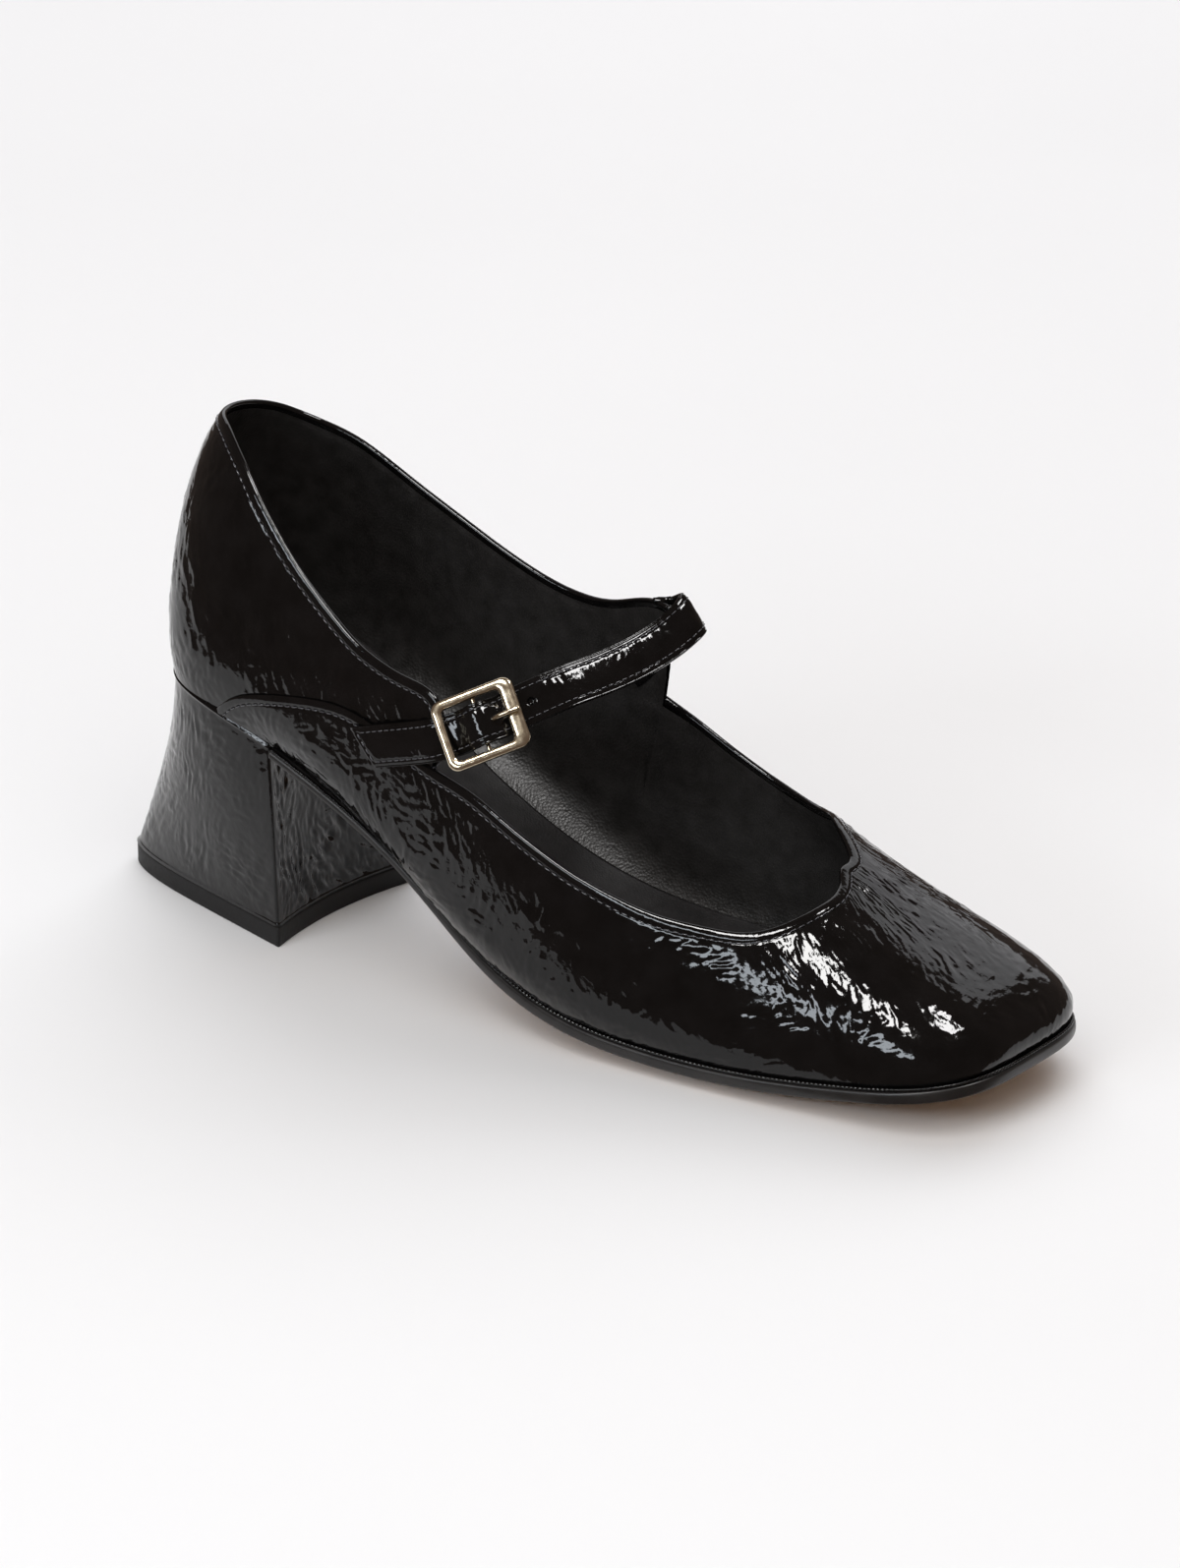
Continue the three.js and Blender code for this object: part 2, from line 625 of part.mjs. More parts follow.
// One section of the strap: a thin rectangle with softened corners.  Its two ends are
// cut on the slant, so the sections near them shear.
function strapRing(curves, share, length) {
  const { middle, along, out, across } = strapFrame(curves, share);
  const run = share * length;
  const tail = TAIL_SLANT * Math.max(1 - run / SLANT_FADE, 0);
  const end = END_SLANT * Math.max(1 - (length - run) / SLANT_FADE, 0);
  const w = STRAP_WIDTH / 2;
  const h = STRAP_THICK / 2;
  const c = STRAP_CORNER;
  const half = [
    [-w, -h + c],
    [-w + c, -h],
    [w - c, -h],
    [w, -h + c],
  ];
  const lift = strapHump(run - BUCKLE_PLACE * length);
  return [...half, ...half.map(([a, n]) => [-a, -n])].map(([a, n]) =>
    middle
      .clone()
      .addScaledVector(across, a)
      .addScaledVector(out, n + lift)
      .addScaledVector(along, a * (tail + end))
      .toArray(),
  );
}

function strapBand(curves) {
  const length = curves.line.getLength();
  const rings = [];
  for (let i = 0; i <= STRAP_STATIONS; i++)
    rings.push(strapRing(curves, i / STRAP_STATIONS, length));
  const tailMiddle = strapFrame(curves, 0).middle.toArray();
  const endMiddle = strapFrame(curves, 1).middle.toArray();
  return ringSolid(rings, tailMiddle, endMiddle);
}

// The buckle's own frame: x along the strap, z away from the shoe.
function bucklePlacement(curves) {
  const { middle, along, out, across } = strapFrame(curves, BUCKLE_PLACE);
  const matrix = new THREE.Matrix4().makeBasis(along, across.negate(), out);
  return matrix.setPosition(middle.addScaledVector(out, BUCKLE_RISE));
}

function roundedRectangle(path, left, right, half, radius) {
  path.moveTo(left + radius, -half);
  path.lineTo(right - radius, -half);
  path.absarc(right - radius, -half + radius, radius, -Math.PI / 2, 0, false);
  path.lineTo(right, half - radius);
  path.absarc(right - radius, half - radius, radius, 0, Math.PI / 2, false);
  path.lineTo(left + radius, half);
  path.absarc(left + radius, half - radius, radius, Math.PI / 2, Math.PI, false);
  path.lineTo(left, -half + radius);
  path.absarc(left + radius, -half + radius, radius, Math.PI, Math.PI * 1.5, false);
  return path;
}

function buckleFrame() {
  const end = BUCKLE_LENGTH / 2;
  const side = BUCKLE_WIDTH / 2;
  const shape = roundedRectangle(new THREE.Shape(), -end, end, side, BUCKLE_CORNER);
  const front = end - BUCKLE_FRONT_BAR;
  const window = [-end + BUCKLE_BAR, front, side - BUCKLE_BAR, BUCKLE_CORNER - BUCKLE_BAR / 2];
  shape.holes.push(roundedRectangle(new THREE.Path(), ...window));
  const frame = new THREE.ExtrudeGeometry(shape, {
    depth: BUCKLE_THICK - 2 * BUCKLE_BEVEL,
    bevelThickness: BUCKLE_BEVEL,
    bevelSize: BUCKLE_BEVEL,
    bevelOffset: -BUCKLE_BEVEL,
    bevelSegments: 2,
    curveSegments: 5,
  });
  frame.translate(0, 0, BUCKLE_BEVEL - BUCKLE_THICK / 2);
  const bar = new THREE.CylinderGeometry(
    CENTRE_BAR_RADIUS,
    CENTRE_BAR_RADIUS,
    BUCKLE_WIDTH - BUCKLE_BAR,
    CENTRE_BAR_SIDES,
  );
  bar.translate(0, 0, -CENTRE_BAR_DROP);
  return geometryOf(solidFrom(frame).add(solidFrom(bar)));
}

// A round bar that follows the prong: from the centre bar, up through the strap's hole
// and over the front bar.
function prongBar(radius, start) {
  const circle = new THREE.Shape().absarc(0, 0, radius, 0, Math.PI * 2, false);
  const points = PRONG_LINE.map((row) => new THREE.Vector3(row.along, 0, row.height));
  points[0].x -= start;
  const extrudePath = new THREE.CatmullRomCurve3(points);
  return new THREE.ExtrudeGeometry(circle, { steps: PRONG_STEPS, curveSegments: 6, extrudePath });
}

// ---------------------------------------------------------------- the shoe
const finish = (color, roughness, metalness) =>
  new THREE.MeshStandardMaterial({ color, roughness, metalness });
const patent = finish(0x0b0b0c, 0.12, 0);
const lining = finish(0x17171a, 0.6, 0);
const soleEdge = finish(0x101011, 0.3, 0);
const rubber = finish(0x141414, 0.75, 0);
const gold = finish(0xd9c39a, 0.18, 1);

const shoe = new THREE.Group();
function piece(name, geometry, material) {
  const mesh = new THREE.Mesh(geometry, material);
  mesh.name = name;
  shoe.add(mesh);
}

const curves = strapCurves();
const placement = bucklePlacement(curves);
const prongHole = prongBar(PRONG_RADIUS + GAP, PRONG_HOLE_START).applyMatrix4(placement);
const strap = solidFrom(strapBand(curves)).subtract(solidFrom(prongHole));

piece("upper", upperGeometry(), patent);
piece("insole", insoleGeometry(), lining);
piece("outsole", outsoleGeometry(), soleEdge);
piece("heel", heelGeometry(), patent);
piece("top_lift", liftGeometry(), rubber);
piece("strap", geometryOf(strap), patent);
piece("buckle_frame", buckleFrame().applyMatrix4(placement), gold);
piece("buckle_prong", prongBar(PRONG_RADIUS, 0).applyMatrix4(placement), gold);
shoe.position.x = -ORIGIN_X;

export default shoe;
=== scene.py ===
"""Looks of the mary jane shoe: crinkled black patent leather, right foot, empty on its sole.

Sizes are in the part's own millimetres; add_mesh turns them into metres of the shared frame.
"""
import json
import math

import bmesh
import bpy
import numpy as np
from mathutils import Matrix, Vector
from mathutils.kdtree import KDTree

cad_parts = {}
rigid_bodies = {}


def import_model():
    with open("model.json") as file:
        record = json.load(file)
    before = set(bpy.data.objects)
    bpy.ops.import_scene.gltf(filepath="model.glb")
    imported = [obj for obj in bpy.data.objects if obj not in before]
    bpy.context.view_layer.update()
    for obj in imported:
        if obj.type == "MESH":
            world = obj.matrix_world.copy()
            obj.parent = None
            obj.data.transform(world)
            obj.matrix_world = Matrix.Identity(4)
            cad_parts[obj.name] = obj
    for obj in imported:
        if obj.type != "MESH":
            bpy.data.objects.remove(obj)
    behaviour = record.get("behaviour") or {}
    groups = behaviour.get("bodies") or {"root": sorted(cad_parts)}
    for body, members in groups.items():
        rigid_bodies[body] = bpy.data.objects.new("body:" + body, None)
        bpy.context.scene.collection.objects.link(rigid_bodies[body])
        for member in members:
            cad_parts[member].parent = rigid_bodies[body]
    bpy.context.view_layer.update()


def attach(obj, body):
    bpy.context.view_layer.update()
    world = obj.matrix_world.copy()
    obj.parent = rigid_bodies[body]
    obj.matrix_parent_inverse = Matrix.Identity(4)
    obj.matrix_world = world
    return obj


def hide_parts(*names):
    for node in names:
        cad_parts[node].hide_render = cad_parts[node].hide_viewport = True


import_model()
MM = 0.001

# ---------------------------------------------------------------- driving dimensions, mm
LENGTH = 246  # back of the counter to the toe
ORIGIN_X = 16  # the tables' x starts at the counter, the part's under the heel
WALL = 1.9  # patent, stiffener and lining together
GAP = 0.42  # air between pieces

HEEL_CAP, HEEL_POWER = 34, 2.25  # rounded back of the plan
TOE_CAP, TOE_POWER = 32, 3.4  # rounded front of the plan
SPINE_BACK, SPINE_FRONT = 32, 176  # the wall's columns lean in to a spine between these
TUCK_POWER = 2.5
LEAN_POWER = 1.6

# Cross-sections of the last: centre and half width of the plan, heights of the feather
# line and of the ridge, the powers of the side's curve outwards and upwards, and how far
# and how high the wall tucks in above the feather line.
SECTION_COLUMNS = ("x", "centre", "half", "feather", "ridge", "out", "up", "tuck", "bulge")
SECTIONS = [
    (0, 0, 30, 62, 138, 2.5, 2.1, 1.2, 20),
    (25, 0.5, 30, 58.6, 136, 2.5, 2.1, 2.5, 20),
    (50, 0, 30.5, 48.5, 134, 2.5, 2.2, 5.5, 18),
    (80, -1.5, 31.5, 32.5, 124, 2.7, 2.4, 8, 16),
    (110, -2, 34.5, 16.5, 113, 2.7, 2.4, 7.5, 14),
    (140, -1, 37.8, 8.4, 88, 2.6, 2.3, 5, 12),
    (165, 1.4, 38.6, 6.4, 64, 2.4, 2.1, 3.5, 11),
    (190, 3, 37.5, 6.8, 48, 2.4, 2, 2.5, 10),
    (215, 3.8, 35, 9.4, 38.5, 2.6, 2.1, 2, 10),
    (246, 2, 30.8, 14.6, 33, 2.8, 2.2, 2, 9),
]

# The topline: where a column of the wall starts on the feather line, where it ends, both
# as a share of the way from counter to toe, and its rise up the wall.
OUTER_TOPLINE = [
    (0, 0, 66.1), (0.08, 0.08, 67.2), (0.137, 0.137, 63.4), (0.2, 0.2, 56),
    (0.25, 0.25, 52.1), (0.305, 0.31, 50.9), (0.335, 0.358, 54.5), (0.353, 0.4, 59.7),
    (0.363, 0.412, 59), (0.372, 0.415, 48.4), (0.381, 0.393, 41), (0.454, 0.456, 44.6),
    (0.504, 0.504, 42.7), (0.58, 0.58, 37.7), (0.662, 0.662, 33.8), (0.736, 0.736, 33.8),
    (0.79, 0.79, 38.6), (0.831, 0.831, 44.7), (0.874, 0.874, 53.1), (0.933, 0.933, 62),
    (1, 1, 65.2),
]
INNER_TOPLINE = [
    (0, 0, 66.1), (0.06, 0.06, 64.4), (0.13, 0.13, 59.6), (0.21, 0.21, 58.2),
    (0.3, 0.3, 61.5), (0.36, 0.37, 66), (0.395, 0.42, 71.4), (0.415, 0.465, 78.7),
    (0.428, 0.505, 86.4), (0.437, 0.54, 88.4), (0.445, 0.485, 64), (0.453, 0.458, 55.8),
    (0.51, 0.51, 53.6), (0.56, 0.56, 48.8), (0.614, 0.614, 45.4), (0.659, 0.659, 44.7),
    (0.698, 0.698, 47.1), (0.747, 0.747, 53.3), (0.81, 0.81, 60.5), (0.874, 0.874, 65.3),
    (0.941, 0.941, 67), (1, 1, 65.2),
]
# The vamp's folded edge over the quarters, in the same terms, up to the throat's corner.
OUTER_SEAM = [
    (0.154, 0.154, 0.6), (0.162, 0.162, 3.1), (0.177, 0.177, 7.5), (0.215, 0.215, 16),
    (0.26, 0.26, 25.3), (0.298, 0.298, 32.4), (0.322, 0.325, 35.9), (0.355, 0.365, 39.1),
]
INNER_SEAM = [
    (0.15, 0.15, 0.6), (0.158, 0.158, 3.2), (0.175, 0.175, 8.2), (0.21, 0.21, 16.7),
    (0.245, 0.245, 24.6), (0.277, 0.277, 31.4), (0.304, 0.304, 37.7), (0.352, 0.352, 46.3),
    (0.4, 0.4, 52.7), (0.435, 0.437, 55.2),
]


# ---------------------------------------------------------------- curves
def spline(xs, ys):
    """A natural cubic spline through (xs, ys), as a function of an array."""
    xs, ys = np.asarray(xs, float), np.asarray(ys, float)
    n, h = len(xs), np.diff(xs)
    matrix, turn = np.eye(n), np.zeros(n)
    for i in range(1, n - 1):
        matrix[i, i - 1 : i + 2] = h[i - 1], 2 * (h[i - 1] + h[i]), h[i]
        turn[i] = 6 * ((ys[i + 1] - ys[i]) / h[i] - (ys[i] - ys[i - 1]) / h[i - 1])
    bend = np.linalg.solve(matrix, turn)

    def curve(value):
        x = np.clip(value, xs[0], xs[-1])
        i = np.clip(np.searchsorted(xs, x) - 1, 0, n - 2)
        a, b = (xs[i + 1] - x) / h[i], (x - xs[i]) / h[i]
        bow = ((a**3 - a) * bend[i] + (b**3 - b) * bend[i + 1]) * h[i] ** 2 / 6
        return a * ys[i] + b * ys[i + 1] + bow

    return curve


def gentle(xs, ys):
    """A curve through (xs, ys) that never overshoots them, flat at both ends."""
    xs, ys = np.asarray(xs, float), np.asarray(ys, float)
    h, steps = np.diff(xs), np.diff(ys) / np.diff(xs)
    slopes = np.zeros(len(xs))
    same = steps[:-1] * steps[1:] > 0
    total = np.where(same, steps[:-1] + steps[1:], 1)
    slopes[1:-1] = np.where(same, 2 * steps[:-1] * steps[1:] / total, 0)

    def curve(value):
        x = np.clip(value, xs[0], xs[-1])
        i = np.clip(np.searchsorted(xs, x) - 1, 0, len(xs) - 2)
        t = (x - xs[i]) / h[i]
        start = (1 + 2 * t) * (1 - t) ** 2 * ys[i] + t * (1 - t) ** 2 * h[i] * slopes[i]
        end = t * t * (3 - 2 * t) * ys[i + 1] + t * t * (t - 1) * h[i] * slopes[i + 1]
        return start + end

    return curve


def mix(a, b, t):
    return a + (b - a) * t


def smooth(low, high, value):
    t = np.clip((value - low) / (high - low), 0, 1)
    return t * t * (3 - 2 * t)


def running_length(points):
    steps = np.linalg.norm(np.diff(points, axis=0), axis=1)
    return np.concatenate([[0], np.cumsum(steps)])


def resample(points, count):
    """The same path as evenly spaced points."""
    run = running_length(points)
    wanted = np.linspace(0, run[-1], count)
    return np.stack([np.interp(wanted, run, points[:, k]) for k in range(points.shape[1])], 1)


def unit(vectors):
    return vectors / np.maximum(np.linalg.norm(vectors, axis=-1, keepdims=True), 1e-12)


# ---------------------------------------------------------------- the last
section = {
    name: spline([row[0] for row in SECTIONS], [row[k] for row in SECTIONS])
    for k, name in enumerate(SECTION_COLUMNS)
    if k
}
PLAN_POINTS = 900  # along each rounded end of the plan
LAST_PLACES = 2000  # columns of the last that are worked out
CLIMB_POINTS = 260  # up each of them
RISE_STEP = 0.4  # mm between the heights that are kept
RISE_MOST = 104


def half_plan(side):
    """Half of the plan from counter to toe, with its running length."""
    turn = np.linspace(0, math.pi / 2, PLAN_POINTS)
    heel_x = HEEL_CAP * (1 - np.cos(turn) ** (2 / HEEL_POWER))
    middle_x = np.linspace(HEEL_CAP, LENGTH - TOE_CAP, PLAN_POINTS)[1:-1]
    toe_x = LENGTH - TOE_CAP + TOE_CAP * np.sin(turn) ** (2 / TOE_POWER)
    x = np.concatenate([heel_x, middle_x, toe_x])
    toe_width = np.maximum(np.cos(turn), 0) ** (2 / TOE_POWER)
    width = np.concatenate([np.sin(turn) ** (2 / HEEL_POWER), np.ones_like(middle_x), toe_width])
    plan = np.stack([x, section["centre"](x) + side * section["half"](x) * width], 1)
    return plan, running_length(plan)


PLAN = {side: half_plan(side) for side in (-1, 1)}


def plan_point(at, side):
    plan, run = PLAN[side]
    wanted = np.asarray(at) * run[-1]
    return np.interp(wanted, run, plan[:, 0]), np.interp(wanted, run, plan[:, 1])


def side_point(at, side, climb):
    """A point of the last's side: climb is 0 on the feather line and pi/2 on the ridge."""
    cx, cy = plan_point(at, side)
    sx = mix(SPINE_BACK, SPINE_FRONT, cx / LENGTH)
    sy = section["centre"](sx)
    outwards = np.maximum(np.cos(climb), 0) ** (2 / section["out"](cx))
    px, py = mix(sx, cx, outwards), mix(sy, cy, outwards)
    low = section["feather"](cx)
    z = mix(low, section["ridge"](px), np.sin(climb) ** (2 / section["up"](cx)))
    share = np.maximum(1 - (z - low) / section["bulge"](cx), 0) ** TUCK_POWER
    tuck = section["tuck"](cx) * share / np.hypot(sx - cx, sy - cy)
    return np.stack([px + tuck * (sx - cx), py + tuck * (sy - cy), z], -1)


def last_table(side):
    """Points of one side of the last on an even grid of place and rise."""
    heights = np.arange(0, RISE_MOST, RISE_STEP)
    climb = np.linspace(0, math.pi / 2, CLIMB_POINTS)
    places = np.linspace(0, 1, LAST_PLACES)
    columns = side_point(places[:, None], side, climb[None, :])
    run = np.linalg.norm(np.diff(columns, axis=1), axis=2).cumsum(1)
    run = np.concatenate([np.zeros((LAST_PLACES, 1)), run], 1)
    table = np.empty((LAST_PLACES, len(heights), 3))
    for i in range(LAST_PLACES):
        for k in range(3):
            table[i, :, k] = np.interp(heights, run[i], columns[i, :, k])
    return table


TABLES = {side: last_table(side) for side in (-1, 1)}


def wall_point(at, side, rise):
    """Points of the last a given distance up its side."""
    table = TABLES[side]
    u = np.clip(np.asarray(at, float), 0, 1) * (LAST_PLACES - 1)
    v = np.clip(np.asarray(rise, float) / RISE_STEP, 0, table.shape[1] - 1.001)
    i = np.minimum(u.astype(int), LAST_PLACES - 2)
    j = v.astype(int)
    a, b = (u - i)[..., None], (v - j)[..., None]
    near = mix(table[i, j], table[i, j + 1], b)
    far = mix(table[i + 1, j], table[i + 1, j + 1], b)
    return mix(near, far, a)


def wall_normal(at, side, rise):
    ahead = wall_point(np.minimum(at + 0.002, 1), side, rise)
    behind = wall_point(np.maximum(at - 0.002, 0), side, rise)
    above = wall_point(at, side, rise + 0.6)
    below = wall_point(at, side, np.maximum(rise - 0.6, 0))
    return unit(np.cross(ahead - behind, above - below)) * -side

# ---------------------------------------------------------------- wrinkles of the leather
LATTICE = 4096


def lattice_noise(x, y, seed):
    """Smooth noise in the plane, about -1 to 1, always the same for one seed."""
    random = np.random.default_rng(seed)
    turn = random.uniform(0, 2 * math.pi, LATTICE)
    order = random.permutation(LATTICE)
    xi, yi = np.floor(x).astype(int), np.floor(y).astype(int)
    fx, fy = x - xi, y - yi

    def corner(dx, dy):
        spot = turn[order[(order[(xi + dx) % LATTICE] + yi + dy) % LATTICE]]
        return np.cos(spot) * (fx - dx) + np.sin(spot) * (fy - dy)

    u, v = (f**3 * (6 * f * f - 15 * f + 10) for f in (fx, fy))
    near, far = mix(corner(0, 0), corner(1, 0), u), mix(corner(0, 1), corner(1, 1), u)
    return 1.5 * mix(near, far, v)


def creases(s, t, heading, length, width, seed):
    """Raised facets between long soft creases; sizes in mm, heading in degrees from s."""
    c, d = math.cos(math.radians(heading)), math.sin(math.radians(heading))
    along, across = (s * c + t * d) / length, (t * c - s * d) / width
    across = across + 0.8 * lattice_noise(along * 0.9, across * 0.3, seed + 1)
    facet = lattice_noise(along, across, seed)
    return np.sqrt(facet * facet + 0.006) - 0.3


def crinkle(s, t, heading, seed):
    """Crinkled patent, about -0.3 to 0.7: creases that mostly follow one heading."""
    sway = lattice_noise(s / 23, t / 23, seed)
    height = 0
    total = 0
    for k, turn in enumerate((-38, 0, 40)):
        weight = np.exp(-(((sway - (k - 1) * 0.45) / 0.3) ** 2)) + 0.05
        wide = creases(s, t, heading + turn, 8, 2.4, seed + 10 * k + 3)
        fine = creases(s, t, heading + turn + 15, 4.2, 1.25, seed + 10 * k + 7)
        height = height + weight * (0.66 * wide + 0.34 * fine)
        total = total + weight
    patches = 0.62 + 0.55 * lattice_noise(s / 14 + 5, t / 11, seed + 50)
    return height / total * np.clip(patches, 0.2, 1.2)


# ---------------------------------------------------------------- making meshes
def add_mesh(name, points, faces, uv=None):
    """A mesh object from points in the tables' mm; faces is a list of arrays of corners."""
    placed = (np.asarray(points, float) - (ORIGIN_X, 0, 0)) * MM
    mesh = bpy.data.meshes.new(name)
    corners = np.concatenate([np.asarray(f).ravel() for f in faces]).astype(np.int32)
    sizes = np.concatenate([np.full(len(f), np.asarray(f).shape[1]) for f in faces])
    mesh.vertices.add(len(placed))
    mesh.vertices.foreach_set("co", placed.astype(np.float32).ravel())
    mesh.loops.add(len(corners))
    mesh.loops.foreach_set("vertex_index", corners)
    mesh.polygons.add(len(sizes))
    starts = np.concatenate([[0], np.cumsum(sizes)[:-1]]).astype(np.int32)
    mesh.polygons.foreach_set("loop_start", starts)
    mesh.polygons.foreach_set("use_smooth", np.full(len(sizes), True))
    mesh.update(calc_edges=True)
    mesh.validate()
    if uv is not None:
        layer = mesh.uv_layers.new(name="surface")
        layer.data.foreach_set("uv", (uv[corners] * MM).astype(np.float32).ravel())
    obj = bpy.data.objects.new(name, mesh)
    bpy.context.scene.collection.objects.link(obj)
    return obj


def grid_faces(rows, columns, closed_rows=False, closed_columns=False, flip=False):
    """Quads between the points of a grid kept row after row."""
    r = np.arange(rows if closed_rows else rows - 1)[:, None]
    c = np.arange(columns if closed_columns else columns - 1)[None, :]
    up, over = (r + 1) % rows, (c + 1) % columns
    quads = [r * columns + c, r * columns + over, up * columns + over, up * columns + c]
    faces = np.stack(np.broadcast_arrays(*quads), -1).reshape(-1, 4)
    return faces[:, ::-1] if flip else faces


def fan_faces(ring, middle, flip=False):
    ring = np.asarray(ring)
    faces = np.stack([ring, np.roll(ring, -1), np.full(len(ring), middle)], 1)
    return faces[:, ::-1] if flip else faces


def tube(name, rings, uv=None):
    """A closed piece from rings of points, with both ends closed."""
    count, around = rings.shape[:2]
    body = rings.reshape(-1, 3)
    faces = [
        grid_faces(count, around, closed_columns=True),
        fan_faces(np.arange(around), len(body), flip=True),
        fan_faces(np.arange(around) + (count - 1) * around, len(body) + 1),
    ]
    if uv is not None:
        uv = np.concatenate([np.stack(np.broadcast_arrays(*uv), -1).reshape(-1, 2), np.zeros((2, 2))])
    middles = [rings[0].mean(0), rings[-1].mean(0)]
    return turn_outwards(add_mesh(name, np.concatenate([body, middles]), faces, uv))


def turn_outwards(obj):
    """Faces of a closed piece all look out."""
    work = bmesh.new()
    work.from_mesh(obj.data)
    bmesh.ops.recalc_face_normals(work, faces=work.faces)
    work.to_mesh(obj.data)
    work.free()
    return obj


def nearest(points, path):
    """Distance from each point to the nearest point of a path."""
    tree = KDTree(len(path))
    for i, p in enumerate(path):
        tree.insert(p, i)
    tree.balance()
    flat = points.reshape(-1, 3)
    found = np.fromiter((tree.find(p)[2] for p in flat), float, len(flat))
    return found.reshape(points.shape[:-1])


def dress(obj, material, slot_name, *replaced):
    """Gives a piece its material and ties it to the frame."""
    obj.data.materials.clear()
    obj.data.materials.append(material)
    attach(obj, "root")
    if replaced:
        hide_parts(*replaced)
    return obj


# ---------------------------------------------------------------- sheets of the wall
CELL = 0.6  # mm between the columns of a sheet
ROWS = 84  # of the sheet below its edge band
EASE_REACH = 14  # columns to each side over which the topline's small waves are evened out
THROAT_STEP, THROAT_REACH = 0.3, 30  # mm, and steps to each side, for the throat's curve
THROAT = (0.55, 0.66)  # share of the way to the toe from which it is evened
BAND = np.arange(0, 4.2, 0.3)  # depths of the rows of the edge band


def evened(values, reach):
    """A weighted running mean over some steps to each side."""
    padded = np.pad(values, reach, mode="reflect", reflect_type="odd")
    window = np.hanning(2 * reach + 3)[1:-1]
    return np.convolve(padded, window / window.sum(), mode="valid")


def eased(values):
    """The same run of values with its small waves taken out, away from the sharp corners."""
    soft = evened(values, EASE_REACH)
    bend = np.abs(soft - values)
    corner = smooth(0.25, 1, bend / bend.max()) if bend.max() > 1.5 else 0
    return mix(soft, values, corner)


def sheet_columns(rows, side, first, last):
    """Foot, top and rise of columns set so close that neither end is coarser than CELL."""
    feet, tops, rises = (np.array(column) for column in zip(*rows))
    foot = np.linspace(first, last, 3000)
    top, rise = gentle(feet, tops)(foot), gentle(feet, rises)(foot)
    low, high = wall_point(foot, side, 0 * foot), wall_point(top, side, rise)
    steps = [np.linalg.norm(np.diff(line, axis=0), axis=1) for line in (low, high)]
    run = np.concatenate([[0], np.cumsum(np.maximum(*steps))])
    foot = np.interp(np.linspace(0, run[-1], int(run[-1] / CELL) + 2), run, foot)
    top, rise = gentle(feet, tops)(foot), gentle(feet, rises)(foot)
    return foot, eased(top), eased(rise)


def columns_to_toe(tables):
    """Columns of both sides up to the toe, with the throat's curve evened across it."""
    columns = {side: sheet_columns(rows, side, rows[0][0], 1) for side, rows in tables.items()}
    count = len(columns[-1][0])  # the outer side's columns come first, then the inner side's
    rises = np.concatenate([columns[-1][2], columns[1][2][-2::-1]])
    outer, inner = (wall_point(columns[side][1], side, columns[side][2]) for side in (-1, 1))
    run = running_length(np.concatenate([outer, inner[-2::-1]]))
    even = np.arange(0, run[-1], THROAT_STEP)
    soft = np.interp(run, even, evened(np.interp(even, run, rises), THROAT_REACH))
    soft = {-1: soft[:count], 1: soft[count - 1 :][::-1]}
    for side, (foot, top, rise) in columns.items():
        columns[side] = foot, top, mix(rise, soft[side], smooth(*THROAT, foot))
    return columns


WING_TIP = np.array([125.5, 19.5, 92.0])  # the inner wing's tip leans out to the strap
WING_REACH, WING_AROUND = np.array([3.8, 1.2, 0.2]), 17


def wall_sheet(halves):
    """Grid of places, sides, rises, points and normals over the columns of both halves."""
    foot, top, height = (np.concatenate(parts) for parts in zip(*(columns for _, columns in halves)))
    side = np.concatenate([np.full(len(columns[0]), hand) for hand, columns in halves])
    squeeze = np.minimum(height / (2 * BAND[-1]), 1)
    below = np.linspace(0, 1, ROWS, endpoint=False)[:, None] * (height - BAND[-1] * squeeze)
    band = height - BAND[::-1, None] * squeeze
    rise = np.concatenate([below, band])
    at = mix(foot, top, (rise / np.maximum(height, 1e-6)) ** LEAN_POWER)
    point, normal = np.empty(rise.shape + (3,)), np.empty(rise.shape + (3,))
    for hand in (-1, 1):
        mine = side == hand
        point[:, mine] = wall_point(at[:, mine], hand, rise[:, mine])
        normal[:, mine] = wall_normal(at[:, mine], hand, rise[:, mine])
    away = np.linalg.norm(point - WING_TIP, axis=-1, keepdims=True)
    point += smooth(WING_AROUND, 0, away) * WING_REACH
    seam = (at > 0.999) | (at < 0.001)
    normal[seam, 1] = 0
    return {"at": at, "side": side, "rise": rise, "point": point, "normal": unit(normal)}


def edge_frames(line, normal):
    """Along, out and up at each point of an edge: up is in the surface, off the piece."""
    along = unit(np.gradient(line, axis=0))
    up = unit(np.cross(along, normal))
    return along, up


def rim_rows(line, normal, up, radius, depth):
    """Rows that roll the edge of a sheet over and tuck it behind itself."""
    radius = np.broadcast_to(radius, len(line))[:, None]
    centre = line - normal * radius
    rows = []
    for turn in np.linspace(0, math.pi, 8)[1:]:
        rows.append(centre + radius * (math.cos(turn) * normal + math.sin(turn) * up))
    rows.append(rows[-1] - up * depth)
    return np.array(rows)

# ---------------------------------------------------------------- the upper
FOLD_RADIUS = 0.8  # of the topline's folded edge
SEAM_RADIUS = 0.45  # of the vamp's folded edge over the quarters
OVERLAP_RISE, OVERLAP_SINK = 0.35, 0.55  # of vamp and quarters at their seam
STITCH_DEPTH = 2.0  # from an edge to its stitches
STITCH_CLEAR = 0.93  # stitches stay this share of that away from every part of the edge
STITCH_SUNK = 0.05
GROOVE_DEPTH = 0.13  # of the grooves that stitches lie in
PIPE_HEIGHT = 0.16  # the leather swells between an edge and its stitches
CRINKLE = 0.85  # height of the wrinkles

